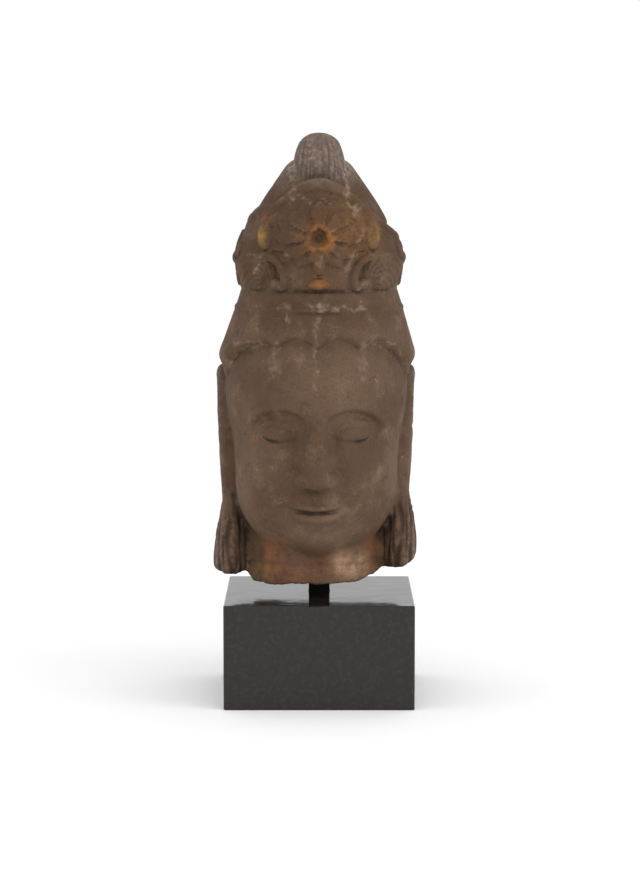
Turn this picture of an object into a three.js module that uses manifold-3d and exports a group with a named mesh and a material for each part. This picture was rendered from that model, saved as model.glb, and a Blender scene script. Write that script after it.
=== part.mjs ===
// A carved stone head with a flower crown and a topknot, broken off at the neck. A square steel rod
// holds it clear of a polished stone plinth.
// Millimetres, +Z up. The origin is the middle of the plinth's underside and the face looks along -Y.
// The head is a field of named forms: the field is negative inside the stone and zero on its surface.
// Its formulas use x to the right as seen from the front, f forward (f = -y) and z up.
import * as THREE from 'three';
import { mergeVertices } from 'three/addons/utils/BufferGeometryUtils.js';
import Module from 'manifold-3d';

const { PI, abs, atan2, cos, exp, max, min, sin, sqrt } = Math;
const { clamp, lerp } = THREE.MathUtils;

// Stand
const PLINTH = { side: 152, height: 84, chamfer: 0.8 };
const ROD = { side: 17, chamfer: 0.6, inPlinth: 30, inHead: 40 };
const CLEARANCE = 0.3;
const STANDING_GAP = 12;
const BREAK = PLINTH.height + STANDING_GAP;

// Face: equal thirds from the hairline down to the chin, and five eyes across
const FACE_THIRD = 58;
const EYE_WIDTH = 29.5;
const HAIRLINE = 294;
const BROW = HAIRLINE - FACE_THIRD;
const NOSE_BASE = BROW - FACE_THIRD;
const CHIN = NOSE_BASE - FACE_THIRD;
const EYE_LINE = BROW - 0.24 * FACE_THIRD;
const MOUTH = NOSE_BASE - FACE_THIRD / 3;
const FACE_HALF = 2.5 * EYE_WIDTH;
const FACE_GIRTH = 74;
const FACE_TURN = [1.9, 1.2];

// The lower head stands a little to the left of the crown
const LEAN = { shift: 2.4, between: [330, 250] };

// Bare head
const SKULL = { at: [0, 0, BROW + 16], half: [FACE_HALF, 75, 92] };
const JAW = { at: [0, 12, NOSE_BASE - 4], half: [65, 63, 60], blend: 24 };
const CHEEK = { round: 40, up: NOSE_BASE + 12, wide: 22, tall: 24, lift: 3.5 };
const MUZZLE = { round: 0, up: NOSE_BASE - 18, wide: 26, tall: 19, lift: 5 };
const CHIN_BALL = { round: 0, up: CHIN + 12, wide: 21, tall: 13, lift: 6.5 };
const CHIN_CREASE = { round: 0, up: CHIN + 26, wide: 17, tall: 4.5, lift: -2.6 };
const BROW_LINE = {
  start: 8, length: 60, drop: 6, arch: 11.5, skew: 0.8, fall: 6, ridge: 1.3, ridgeHalf: 3.2, ridgeRise: 1.5,
  socket: 6.2, upper: [-1.5, 5], lower: [34, 9], inner: [6, 13], outer: [72, 46],
  corner: { round: 15, wide: 8, deepening: 0.75 },
};
const EYE = {
  round: 34.5, ahead: 53.5, drop: 2, ball: [18, 16.5, 15], margin: 1, lidDrop: 5, tilt: 1.4,
  upperLid: 3, lowerLid: 2.1, upperArc: 2, lowerArc: 5.8, lidEdge: 0.8, lidBlend: 0.4,
  fold: 1.5, foldRise: 10.5, foldHalf: 1.2, blend: 3,
};
const NOSE = {
  root: BROW - 1, tip: NOSE_BASE + 8, ahead: 75.5, rise: 19.5, half: 3.6, widening: 2.2, flare: 0.46,
  top: BROW + 9, topEdge: 6, behind: 55, behindEdge: 4, ridgeEdge: 2.6, blend: 5,
  span: [-0.4, 1], under: { tilt: 0.3, from: 82, edge: 4 },
  ball: { at: [0, 86, NOSE_BASE + 7.5], half: [8.6, 10, 7.4], blend: 4 },
  wing: { at: [11.3, 77, NOSE_BASE + 6.5], half: [6.8, 11.5, 7], blend: 2.6 },
  nostril: { at: [6.2, 82, NOSE_BASE - 0.6], half: [3.4, 5.5, 2.6], edge: 1.2 },
};
const LIPS = {
  ahead: 76.4, curve: 0.012, smile: 0.0055, groove: 1.5, grooveHalf: 1.7, ends: [25.5, 19],
  bow: 0.55, bowHalf: 4, meet: 0.8, blend: 2.6,
  upper: { at: [0, 0, 3.3], half: [23.5, 6.4, 4.4] },
  lower: { at: [0, -0.6, -4.5], half: [19.5, 7.6, 5.2] },
  core: { at: [0, -3.4, -0.4], half: [21, 6.8, 5] },
  corner: { side: 25, wide: 3.6, tall: 4, depth: 2.2 },
  philtrum: { depth: 1.5, half: 3.2, low: [4, 9], high: [2, -3] },
};

// Hair under the crown, ears, locks on the shoulders and neck
const HAIR = {
  layer: 3, lobe: 2.6, lobes: [{ round: 17, half: 19 }, { round: 54, half: 22 }], lobeTop: [30, 12],
  roll: 9, under: 4, front: [1.5, 1.25], worn: { thin: 0.45, between: [14, 40] },
  cusp: 36, valley: HAIRLINE - 5, scallop: 8.5,
  temple: { rise: 10, run: 62, fall: 27 }, behindEar: [1.72, 1.9], drop: 250,
};
const HAIR_CAP = {
  half: [60, 62], cone: 0.33, foot: 283, side: 8, sideTurn: [0.95, 1.25], backTurn: [2.3, 1.8],
  footEdge: 12, topEdge: 2, blend: 6,
};
const HAIR_FALL = {
  offset: 24, half: [71, 50], top: 285, topEdge: 30,
  frontTurn: [1.6, 1.75], frontUp: [145, 168], frontEdge: 6,
  blend: 5, groove: 1.3, pitch: 11, from: [1.8, 2], uneven: 1.6,
};
const EAR = {
  shift: 0.6, behind: 16, slope: 0.1, middle: 205, out: 81.5, lean: 0.07, bow: 0.1, thick: 23,
  flare: 0.25, edge: 2.5, backEdge: 1,
  shell: { half: [17.5, 36.5], up: 229.5 },
  drop: { half: [10.5, 25], up: 172, blend: 9 },
  cup: { depth: 3.4, rim: 6, foot: 194, edge: 3 },
  tragus: { at: [73, 12, 212], half: [5, 5, 9], blend: 3 },
};
const LOCK = {
  shift: 1, out: 69, ahead: 4, half: [11.5, 20], top: 168, topEdge: 16,
  bulge: { size: 2.6, up: 110, half: 20 },
  narrowing: { between: [128, 168], by: [5, 9], backward: 9 },
  groove: 1.9, strands: 21, uneven: 1.1, strandTop: [158, 140], rightUp: 14,
};
const NECK = {
  offset: 3, half: [48.5, 45], web: [64, 17], webBlend: 5, top: 160, topEdge: 8,
  fold: { depth: 1.4, up: 108, half: 2.2, slope: 0.05 },
};

// Crown: a vase-shaped wall over a headband, cut at the top by an arch
const CROWN = {
  offset: 2, foot: 331, waist: [62.5, 64.5], belly: [3.8, 3.8], bellyRun: 60,
  taper: [16, 14], taperFrom: [356, 425], girth: 66, footEdge: 2, seam: 3,
  groove: { depth: 1.4, up: 332.5, half: 1.5 },
  arch: { top: 421, fall: 0.0112, half: 60, backDrop: 36, backTurn: [1.65, 2.2], edge: 6 },
  left: { rise: 14, turn: [0.7, 1.25], end: [2.2, 1.7] },
  rim: { lift: 2.3, half: 5, turn: [2.4, 2.1], clear: [-8, -11] },
};
const BAND = {
  low: 316, high: 331, half: [63, 65.5], cone: 0.32, edge: 1.5, bead: { up: 317.6, half: 1.1, blend: 2.4 },
};
const BAND_CORE = { half: [60.5, 63], up: 330, rise: 6, blend: 0.6 };
const ROSETTE = {
  up: 374, ring: 8.8, ringHalf: 2.8, ringLift: 6.6, floor: 0.8, seed: 2.4, seedLift: 1.6,
  sideways: 1.05, upward: 0.84, downward: 0.62, clearOfScroll: [1.02, 1.1],
  petals: { count: 8, from: 6, to: 36, half: 12.5, lift: 6.2, turn: PI / 2 },
  under: { count: 8, from: 10, to: 40, half: 10.5, lift: 3.2, turn: PI * 0.625 },
};
const PETAL = { gap: 0.6, skew: 0.62, point: 0.75, edge: 0.74, dish: 0.52, rib: 0.1, ribHalf: 1.3 };
const SCROLL = {
  round: 44, up: 343, radius: 20, rim: 3.4, lift: 5.6, outward: [2.7, 1.7], inward: [-1.3, -0.7],
};
const LEAF = {
  round: 59, up: 347, half: [25, 17], edge: 0.84, lift: 4.4, floor: 0.66,
  ribs: 13, curl: 0.05, stem: [4, 8], from: { round: 42, up: 338 },
};
const VOLUTE = { round: 34.5, up: 337.5, half: [5.4, 5.6], lift: 6.6 };
const PENDANT = { round: 0, up: 353, half: [4.6, 8.4], lift: 6.4 };
const PENDANT_FOOT = { round: 0, up: 338, half: [9, 5], lift: 5.6 };
const OVAL_JEWEL = { round: 50.5, up: 377, half: [5.6, 10], lift: 5.6 };
const JEWEL_PLATE = { round: 50.5, up: 378, half: [9.8, 14.5], lift: 2.4, edge: 0.86 };
const JEWEL_SLANT = 0.42;
const SIDE_FLOWER = {
  round: 100, up: 357, petals: { count: 6, from: 4, to: 23, half: 9.5, lift: 3.2, turn: PI / 2 },
  heart: { round: 100, up: 357, half: [6, 6], lift: 4 },
};
const TOPKNOT = {
  offset: 3, shoulder: 386, shoulderHalf: 55, rise: 48, narrowing: 31, bend: 1.15, depth: 0.95,
  steepness: 0.8, top: 437, topEdge: 8, foot: 340, footEdge: 4, strand: 0.7, strands: 30, uneven: 1.6,
};
const BUN = {
  at: [0, 8, 0], up: 424, half: [21.4, 24.5, 38.6], top: 458, topEdge: 11, foot: 396, footEdge: 3, blend: 1.2,
  strand: 0.9, strands: 21, uneven: 1.4, smoothTop: [457, 449],
};
const MEET = { neck: 7, hair: 0.8, lock: 10, ear: 1.2, topknot: 1, crown: 0.8 };

// The broken underside: lowest under the neck, higher under the locks, most on the right
const FRACTURE = {
  leftLock: 8, leftLockSide: [52, 60], rightLock: 5, rightLockSide: [44, 52], right: 3.5, rightSide: [22, 46],
  left: 3, leftSide: [8, 42], outerSlope: 0.22, outerFrom: 54,
  front: [-45, -15], backSlope: 0.14, roughness: 0.4, neckEdge: 1.5, lockEdge: 7, edgeSide: [48, 60],
};

// The grid that the surface is found on, and how its points are then spread and thinned
const GRID = { low: [-98, -90, 82], high: [98, 108, 468], cell: 2.7, block: 5, reach: 17 };
const SPREAD = {
  rounds: 4, slide: 0.5, projections: 2, pull: 0.9, furthest: 1.5, flattest: 0.6, probe: 0.35,
};
const THIN = { faces: 9700, evenness: 0.002, turn: 0.25, sliver: 0.05 };

const ramp = (low, high, value) => {
  const t = clamp((value - low) / (high - low), 0, 1);
  return t * t * (3 - 2 * t);
};
const hypot = (a, b, c = 0) => sqrt(a * a + b * b + c * c);
const distance = (a, b) => hypot(...a.map((value, i) => value - b[i]));
const bell = (value) => exp(-value * value);
const dome = (square) => sqrt(max(1 - square, 0));
const softMin = (a, b, blend) => {
  const h = clamp(0.5 + 0.5 * (b - a) / blend, 0, 1);
  return b + (a - b) * h - blend * h * (1 - h);
};
const softMax = (a, b, blend) => -softMin(-a, -b, blend);
const grooves = (phase) => (0.5 + 0.5 * cos(phase)) ** 2;

function ellipsoid(x, f, z, form) {
  const [a, b, c] = form.half;
  const [u, v, w] = [(x - form.at[0]) / a, (f - form.at[1]) / b, (z - form.at[2]) / c];
  const reach = hypot(u, v, w);
  return reach * (reach - 1) / max(hypot(u / a, v / b, w / c), 1e-6);
}

function ovalColumn(x, f, [a, b]) {
  const reach = hypot(x / a, f / b);
  return reach * (reach - 1) / max(hypot(x / a ** 2, f / b ** 2), 1e-6);
}

// Share of the way from the middle of a flat oval to its edge
const ovalShare = (round, z, { half, ...at }) => hypot((round - at.round) / half[0], (z - at.up) / half[1]);
const knob = (round, z, form) => form.lift * dome(ovalShare(round, z, form) ** 2);
const widened = (half, by) => half.map((size) => size + by);

const bareHead = (x, f, z) => softMin(ellipsoid(x, f, z, SKULL), ellipsoid(x, f, z, JAW), JAW.blend);

function browRelief(round, z) {
  const { corner } = BROW_LINE;
  const t = clamp((round - BROW_LINE.start) / BROW_LINE.length, 0, 1);
  const arch = BROW_LINE.arch * sin(PI * t ** BROW_LINE.skew) - BROW_LINE.fall * t;
  const below = BROW - BROW_LINE.drop + arch - z;
  const across = ramp(...BROW_LINE.inner, round) * ramp(...BROW_LINE.outer, round);
  const deeper = 1 + corner.deepening * bell((round - corner.round) / corner.wide);
  const socket = ramp(...BROW_LINE.upper, below) * ramp(...BROW_LINE.lower, below) * across * deeper;
  return BROW_LINE.ridge * bell((below + BROW_LINE.ridgeRise) / BROW_LINE.ridgeHalf) * across
    - BROW_LINE.socket * socket;
}

function faceRelief(round, z) {
  let lift = browRelief(round, z);
  for (const form of [CHEEK, MUZZLE, CHIN_BALL, CHIN_CREASE]) {
    lift += form.lift * bell((round - form.round) / form.wide) * bell((z - form.up) / form.tall);
  }
  return lift;
}

// A ball with a deep upper lid and a narrow lower one, nearly shut
function eye(side, f, z, round) {
  const turn = EYE.round / FACE_GIRTH;
  const at = [EYE.ahead * sin(turn), EYE.ahead * cos(turn), EYE_LINE - EYE.drop];
  const ball = ellipsoid(side, f, z, { at, half: EYE.ball });
  const across = (round - EYE.round) / (EYE_WIDTH / 2 + EYE.margin);
  const open = clamp(1 - across * across, 0, 1);
  const corner = EYE_LINE - EYE.lidDrop + EYE.tilt * across;
  const upperEdge = corner - EYE.upperArc * open;
  const lowerEdge = corner - EYE.lowerArc * open;
  const fold = bell((z - upperEdge - EYE.foldRise * sqrt(open) - 1) / EYE.foldHalf) * ramp(0, 0.3, open);
  const upper = softMax(ball - EYE.upperLid, upperEdge - z, EYE.lidEdge) + EYE.fold * fold;
  const lower = softMax(ball - EYE.lowerLid, z - lowerEdge, EYE.lidEdge);
  return softMin(softMin(ball, upper, EYE.lidBlend), lower, EYE.lidBlend);
}

function nose(side, f, z) {
  const { under, ball, wing, nostril } = NOSE;
  const down = clamp((NOSE.root - z) / (NOSE.root - NOSE.tip), ...NOSE.span);
  const ridge = NOSE.ahead + NOSE.rise * down;
  const half = NOSE.half + NOSE.widening * clamp(down, 0, 1);
  const underside = NOSE_BASE + under.tilt * max(f - under.from, 0);
  let wedge = softMax(f - ridge, side - half - NOSE.flare * (ridge - f), NOSE.ridgeEdge);
  wedge = softMax(wedge, underside - z, under.edge);
  wedge = softMax(wedge, z - NOSE.top, NOSE.topEdge);
  wedge = softMax(wedge, NOSE.behind - f, NOSE.behindEdge);
  wedge = softMin(wedge, ellipsoid(side, f, z, ball), ball.blend);
  wedge = softMin(wedge, ellipsoid(side, f, z, wing), wing.blend);
  return softMax(wedge, -ellipsoid(side, f, z, nostril), nostril.edge);
}

function withMouth(solid, side, f, z, front) {
  const { philtrum, corner } = LIPS;
  const above = z - MOUTH - LIPS.smile * side * side;
  const ahead = f - LIPS.ahead + LIPS.curve * side * side;
  const upper = ellipsoid(side, ahead, above + LIPS.bow * bell(side / LIPS.bowHalf), LIPS.upper);
  const lower = ellipsoid(side, ahead, above, LIPS.lower);
  const core = ellipsoid(side, ahead, above, LIPS.core);
  const body = softMin(softMin(upper, lower, LIPS.meet), core, LIPS.meet);
  const betweenLips = ramp(...philtrum.low, z - MOUTH) * ramp(...philtrum.high, z - NOSE_BASE);
  const dent = philtrum.depth * bell(side / philtrum.half) * betweenLips;
  const pinch = bell((side - corner.side) / corner.wide) * bell(above / corner.tall);
  const groove = bell(above / LIPS.grooveHalf) * ramp(...LIPS.ends, side);
  const lips = softMin(solid + dent * front, body, LIPS.blend);
  return lips + (LIPS.groove * groove + corner.depth * pinch) * front;
}

function face(x, f, z, bare) {
  const side = abs(x);
  const turn = atan2(side, f);
  const round = FACE_GIRTH * turn;
  const front = ramp(...FACE_TURN, turn);
  let solid = bare - faceRelief(round, z) * front;
  solid = softMin(solid, eye(side, f, z, round), EYE.blend);
  solid = softMin(solid, nose(side, f, z), NOSE.blend);
  return withMouth(solid, side, f, z, front);
}

// Lower edge of the hair: two scallops a side over the forehead, then down behind the ear
function hairline(turn) {
  const { temple } = HAIR;
  const round = FACE_GIRTH * turn;
  const t = clamp((round - HAIR.cusp) / temple.run, 0, 1);
  const inner = HAIR.scallop * sin(PI * clamp(round / HAIR.cusp, 0, 1));
  const outer = temple.rise * sin(PI * t ** 0.8) * (1 - t) - temple.fall * t ** 2.2;
  return HAIR.valley + (round < HAIR.cusp ? inner : outer) - HAIR.drop * ramp(...HAIR.behindEar, turn);
}

function hairLayer(round, turn, above) {
  const { worn } = HAIR;
  const lobe = max(...HAIR.lobes.map((roll) => dome(((round - roll.round) / roll.half) ** 2)));
  const layer = HAIR.layer + HAIR.lobe * lobe * ramp(...HAIR.lobeTop, above) * ramp(...HAIR.front, turn);
  const left = lerp(worn.thin, 1, ramp(...worn.between, round));
  const roll = dome((1 - clamp(above / HAIR.roll, 0, 1)) ** 2);
  return layer * left * roll - HAIR.under * ramp(0, -HAIR.under, above);
}

// The long hair behind the ears
function hairFall(x, f, z, turn) {
  const [low, high] = HAIR_FALL.frontUp;
  const frontTurn = lerp(...HAIR_FALL.frontTurn, clamp((z - low) / (high - low), 0, 1));
  const column = ovalColumn(x, f + HAIR_FALL.offset, HAIR_FALL.half);
  const mass = softMax(column, z - HAIR_FALL.top, HAIR_FALL.topEdge);
  return softMax(mass, (frontTurn - turn) * HAIR_FALL.half[1], HAIR_FALL.frontEdge);
}

function hair(x, f, z, bare) {
  const turn = atan2(abs(x), f);
  const round = FACE_GIRTH * turn;
  const capHalf = widened(HAIR_CAP.half, HAIR_CAP.cone * max(BAND.high - z, 0));
  const beside = ramp(...HAIR_CAP.sideTurn, turn) * ramp(...HAIR_CAP.backTurn, turn);
  const foot = HAIR_CAP.foot - HAIR_CAP.side * beside;
  let cap = softMax(ovalColumn(x, f + CROWN.offset, capHalf), foot - z, HAIR_CAP.footEdge);
  cap = softMax(cap, z - BAND.high, HAIR_CAP.topEdge);
  const mass = softMin(softMin(bare, cap, HAIR_CAP.blend), hairFall(x, f, z, turn), HAIR_FALL.blend);
  const phase = 2 * PI * round / HAIR_FALL.pitch + HAIR_FALL.uneven * sin(5 * turn + z / 70);
  const groove = grooves(phase) * ramp(...HAIR_FALL.from, turn);
  return mass - hairLayer(round, turn, z - hairline(turn)) + HAIR_FALL.groove * groove;
}

function ear(x, f, z) {
  const { shell, drop, cup, tragus } = EAR;
  const side = abs(x);
  const along = f + EAR.behind + EAR.slope * (z - EAR.middle);
  const oval = (form) => (hypot(along / form.half[0], (z - form.up) / form.half[1]) - 1) * form.half[0];
  const outline = softMin(oval(shell), oval(drop), drop.blend);
  const outer = side - EAR.out + EAR.lean * max(shell.up - z, 0) + EAR.bow * abs(along);
  const plate = softMax(outer, outline + EAR.flare * outer, EAR.edge);
  const hollow = softMax(softMax(outline + cup.rim, cup.foot - z, cup.edge), -cup.depth - outer, cup.edge);
  const carved = softMin(softMax(plate, -hollow, cup.edge), ellipsoid(side, along, z, tragus), tragus.blend);
  return softMax(carved, EAR.out - EAR.thick - side, EAR.backEdge);
}

// A hanging tress that narrows and steps back under the ear, with strands along it
function shoulderLock(side, f, z) {
  const { bulge, narrowing } = LOCK;
  const rise = ramp(...narrowing.between, z);
  const across = side - LOCK.out;
  const ahead = f - LOCK.ahead + narrowing.backward * rise;
  const swell = bulge.size * bell((z - bulge.up) / bulge.half);
  const half = LOCK.half.map((size, i) => size + swell - narrowing.by[i] * rise);
  const around = atan2(across, ahead);
  const strand = grooves(around * LOCK.strands + LOCK.uneven * sin(5 * around + z / 14));
  const depth = LOCK.groove * (0.6 + 0.4 * sin(8 * around + 1.5 + z / 40)) * ramp(...LOCK.strandTop, z);
  return softMax(ovalColumn(across, ahead, half), z - LOCK.top, LOCK.topEdge) + depth * strand;
}

function neck(x, f, z) {
  const { half, web, fold } = NECK;
  const column = softMin(ovalColumn(x, f + NECK.offset, half), ovalColumn(x, f, web), NECK.webBlend);
  const crease = fold.depth * bell((z - fold.up - fold.slope * f) / fold.half);
  return softMax(column, z - NECK.top, NECK.topEdge) + crease;
}

// Heights from 0 to 1 of pointed petals round a centre, each dished and with a rib along its middle
function petals(u, v, flower) {
  const reach = hypot(u, v);
  const span = 2 * PI / flower.count;
  const turned = atan2(v, u) - flower.turn + span / 2;
  const off = turned - span * Math.floor(turned / span) - span / 2;
  const along = clamp((reach * cos(off) - flower.from) / (flower.to - flower.from), 0, 1);
  const leaf = flower.half * max(sin(PI * along ** PETAL.skew), 0) ** PETAL.point;
  const half = max(min(leaf, reach * sin(span / 2) - PETAL.gap), 0.01);
  const across = abs(reach * sin(off));
  const share = across / half;
  const dished = lerp(PETAL.dish, 1, min(share, 1) ** 2) + PETAL.rib * bell(across / PETAL.ribHalf);
  return ramp(1, PETAL.edge, share) * dished;
}

// A leaf curled round a volute, with a raised rim towards the flower and ribs that fan out sideways
function scrollRelief(round, z) {
  const [u, v] = [round - SCROLL.round, z - SCROLL.up];
  const bearing = atan2(v, -u);
  const opened = bearing < -PI / 2 ? bearing + 2 * PI : bearing;
  const arc = ramp(...SCROLL.outward, opened) * ramp(...SCROLL.inward, opened);
  const rim = SCROLL.lift * dome(((hypot(u, v) - SCROLL.radius + SCROLL.rim) / SCROLL.rim) ** 2) * arc;
  const [out, up] = [round - LEAF.from.round, z - LEAF.from.up];
  const reach = hypot(out, up);
  const rib = lerp(LEAF.floor, 1, 1 - grooves(LEAF.ribs * (atan2(up, out) + LEAF.curl * reach)));
  const leaf = LEAF.lift * rib * ramp(1, LEAF.edge, ovalShare(round, z, LEAF)) * ramp(...LEAF.stem, reach);
  return max(rim, leaf, knob(round, z, VOLUTE));
}

function rosetteRelief(round, z) {
  const up = z - ROSETTE.up;
  const reach = hypot(round, up);
  const ring = ROSETTE.ringLift * dome(((reach - ROSETTE.ring) / ROSETTE.ringHalf) ** 2);
  if (reach < ROSETTE.ring) {
    return max(ring, ROSETTE.floor + ROSETTE.seedLift * dome((reach / ROSETTE.seed) ** 2));
  }
  const [wide, tall] = [round / ROSETTE.sideways, up / (up > 0 ? ROSETTE.upward : ROSETTE.downward)];
  const [upper, under] = [ROSETTE.petals, ROSETTE.under].map((row) => row.lift * petals(wide, tall, row));
  const fromScroll = hypot(round - SCROLL.round, z - SCROLL.up) / SCROLL.radius;
  return max(ring, max(upper, under) * ramp(...ROSETTE.clearOfScroll, fromScroll));
}

function crownRelief(turn, z) {
  const round = CROWN.girth * turn;
  const upright = round - JEWEL_SLANT * (z - OVAL_JEWEL.up);
  const plate = JEWEL_PLATE.lift * ramp(1, JEWEL_PLATE.edge, ovalShare(upright, z, JEWEL_PLATE));
  const jewel = max(plate, knob(upright, z, OVAL_JEWEL));
  const beside = petals(round - SIDE_FLOWER.round, z - SIDE_FLOWER.up, SIDE_FLOWER.petals);
  const knobs = [PENDANT, PENDANT_FOOT, SIDE_FLOWER.heart].map((form) => knob(round, z, form));
  const flower = SIDE_FLOWER.petals.lift * beside;
  return max(rosetteRelief(round, z), scrollRelief(round, z), jewel, flower, ...knobs);
}

function headband(x, f, z) {
  const wall = ovalColumn(x, f, widened(BAND.half, BAND.cone * (BAND.high - z)));
  let band = softMax(softMax(wall, z - BAND.high, BAND.edge), BAND.low - z, BAND.edge);
  band = softMin(band, hypot(wall, z - BAND.bead.up) - BAND.bead.half, BAND.bead.blend);
  const core = softMax(ovalColumn(x, f, BAND_CORE.half), abs(z - BAND_CORE.up) - BAND_CORE.rise, 1);
  return softMin(band, core, BAND_CORE.blend);
}

function crown(x, f, z) {
  const { arch, left, rim, groove } = CROWN;
  const ahead = f + CROWN.offset;
  const turn = atan2(abs(x), ahead);
  const belly = sin(PI * clamp((z - CROWN.foot + 2) / CROWN.bellyRun, 0, 1));
  const taper = ramp(...CROWN.taperFrom, z);
  const half = CROWN.waist.map((size, i) => size + CROWN.belly[i] * belly - CROWN.taper[i] * taper);
  const reach = arch.half * sin(min(turn, PI / 2));
  const leftRise = x < 0 ? left.rise * ramp(...left.turn, turn) * ramp(...left.end, turn) : 0;
  const edge = arch.top - arch.fall * reach ** 2 - arch.backDrop * ramp(...arch.backTurn, turn) + leftRise;
  const bead = rim.lift * dome(((edge - rim.half - z) / rim.half) ** 2) * ramp(...rim.turn, turn);
  const relief = crownRelief(turn, z) * ramp(...rim.clear, z - edge);
  let wall = ovalColumn(x, ahead, half) - max(relief, bead);
  wall = softMax(softMax(wall, z - edge, arch.edge), CROWN.foot - z, CROWN.footEdge);
  const step = groove.depth * bell((z - groove.up) / groove.half);
  return softMin(wall, headband(x, ahead, z), CROWN.seam) + step;
}

function topknot(x, f, z) {
  const behind = f + TOPKNOT.offset;
  const share = clamp((z - TOPKNOT.shoulder) / TOPKNOT.rise, 0, 1.2);
  const radius = TOPKNOT.shoulderHalf - TOPKNOT.narrowing * share ** TOPKNOT.bend;
  const turn = atan2(x, behind);
  let mass = ovalColumn(x, behind, [radius, radius * TOPKNOT.depth]) * TOPKNOT.steepness;
  mass = softMax(softMax(mass, z - TOPKNOT.top, TOPKNOT.topEdge), TOPKNOT.foot - z, TOPKNOT.footEdge);
  mass += TOPKNOT.strand * grooves(turn * TOPKNOT.strands + TOPKNOT.uneven * sin(9 * turn));
  const around = atan2(x, f - BUN.at[1] / 2);
  const strand = grooves(around * BUN.strands + BUN.uneven * sin(7 * around + 1)) * ramp(...BUN.smoothTop, z);
  let bun = ellipsoid(x, f, max(z - BUN.up, 0), BUN) + BUN.strand * strand;
  bun = softMax(softMax(bun, z - BUN.top, BUN.topEdge), BUN.foot - z, BUN.footEdge);
  return softMin(mass, bun, BUN.blend);
}

function stone(x, f, z) {
  const leaning = x + LEAN.shift * ramp(...LEAN.between, z);
  const bare = bareHead(leaning, f, z);
  let solid = softMin(face(leaning, f, z, bare), neck(leaning, f, z), MEET.neck);
  solid = softMin(solid, hair(leaning, f, z, bare), MEET.hair);
  const alongLock = z - LOCK.rightUp * ramp(-1, 1, leaning);
  solid = softMin(solid, shoulderLock(abs(leaning + LOCK.shift), f, alongLock), MEET.lock);
  solid = softMin(solid, ear(leaning + EAR.shift, f, z), MEET.ear);
  return softMin(solid, softMin(crown(leaning, f, z), topknot(leaning, f, z), MEET.topknot), MEET.crown);
}

function breakHeight(x, f) {
  const waves = sin(x / 6.7 + 1.9 * sin(f / 9.1)) + 0.7 * sin(f / 4.4 + 1.3 * sin(x / 11));
  const leftLock = FRACTURE.leftLock * ramp(...FRACTURE.leftLockSide, -x);
  const rightLock = FRACTURE.rightLock * ramp(...FRACTURE.rightLockSide, x);
  const right = FRACTURE.right * ramp(...FRACTURE.rightSide, x);
  const outer = FRACTURE.outerSlope * max(x - FRACTURE.outerFrom, 0);
  const left = FRACTURE.left * ramp(...FRACTURE.leftSide, -x);
  const sides = (leftLock + rightLock + right + outer - left) * ramp(...FRACTURE.front, f);
  const step = sides + FRACTURE.backSlope * max(-f, 0);
  return BREAK + step + FRACTURE.roughness * waves;
}

function brokenStone(x, f, z) {
  const edge = lerp(FRACTURE.neckEdge, FRACTURE.lockEdge, ramp(...FRACTURE.edgeSide, abs(x)));
  return softMax(stone(x, f, z), breakHeight(x, f) - z, edge);
}

// The field at the corners of a grid, worked out only in the blocks that the surface may cross
function sampledField() {
  const pace = GRID.cell * GRID.block;
  const counts = GRID.low.map((low, i) => Math.ceil((GRID.high[i] - low) / pace) * GRID.block);
  const strides = [counts[1] * counts[2], counts[2], 1];
  const values = new Float32Array(counts[0] * strides[0]);
  const inSteps = (count, step) => Array.from({ length: count / step }, (unused, i) => i * step);
  const [rows, columns, layers] = counts.map((count) => inSteps(count, GRID.block));
  const within = inSteps(GRID.block, 1);
  const placeOf = (cell, shift) => cell.map((step, i) => GRID.low[i] + GRID.cell * (step + shift));
  const fill = (block) => {
    const far = brokenStone(...placeOf(block, (GRID.block - 1) / 2));
    within.forEach((i) => within.forEach((j) => within.forEach((k) => {
      const cell = [block[0] + i, block[1] + j, block[2] + k];
      const index = cell[0] * strides[0] + cell[1] * strides[1] + cell[2];
      values[index] = abs(far) > GRID.reach ? far : brokenStone(...placeOf(cell, 0));
    })));
  };
  rows.forEach((i) => columns.forEach((j) => layers.forEach((k) => fill([i, j, k]))));
  return { values: strides.reduce(smoothed, values), counts, strides };
}

// Each value drawn a quarter towards both its neighbours, so that the grid holds nothing thinner than a cell
function smoothed(values, stride) {
  return values.map((value, i) => {
    const inside = i >= stride && i + stride < values.length;
    return inside ? value / 2 + (values[i - stride] + values[i + stride]) / 4 : value;
  });
}

// Points and four-sided faces where the field changes sign
function surfaceNet({ values, counts, strides }) {
  const cells = new Map();
  const points = [];
  const shares = [];
  const faces = [];
  const cornerOf = (cell, crossing) => {
    if (!cells.has(cell)) {
      cells.set(cell, points.push([0, 0, 0]) - 1);
      shares.push(0);
    }
    const corner = cells.get(cell);
    shares[corner] += 1;
    points[corner] = points[corner].map((value, i) => value + crossing[i]);
    return corner;
  };
  values.forEach((value, here) => {
    const cell = strides.map((stride, i) => Math.floor(here / stride) % counts[i]);
    strides.forEach((stride, axis) => {
      const next = values[here + stride];
      if (cell[axis] + 1 === counts[axis] || (value < 0) === (next < 0)) {
        return;
      }
      const crossing = cell.map((step, i) => step + (i === axis ? value / (value - next) : 0));
      const [left, right] = [strides[(axis + 1) % 3], strides[(axis + 2) % 3]];
      const around = [here, here - right, here - left - right, here - left];
      const corners = around.map((at) => cornerOf(at, crossing));
      faces.push(value < 0 ? corners : corners.reverse());
    });
  });
  const placeOf = (sum, share) => sum.map((value, i) => GRID.low[i] + GRID.cell * value / share);
  return { points: points.map((sum, corner) => placeOf(sum, shares[corner])), faces };
}

function slopeAt([x, f, z]) {
  const h = SPREAD.probe;
  return new THREE.Vector3(
    brokenStone(x + h, f, z) - brokenStone(x - h, f, z),
    brokenStone(x, f + h, z) - brokenStone(x, f - h, z),
    brokenStone(x, f, z + h) - brokenStone(x, f, z - h),
  ).divideScalar(2 * h);
}

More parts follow.
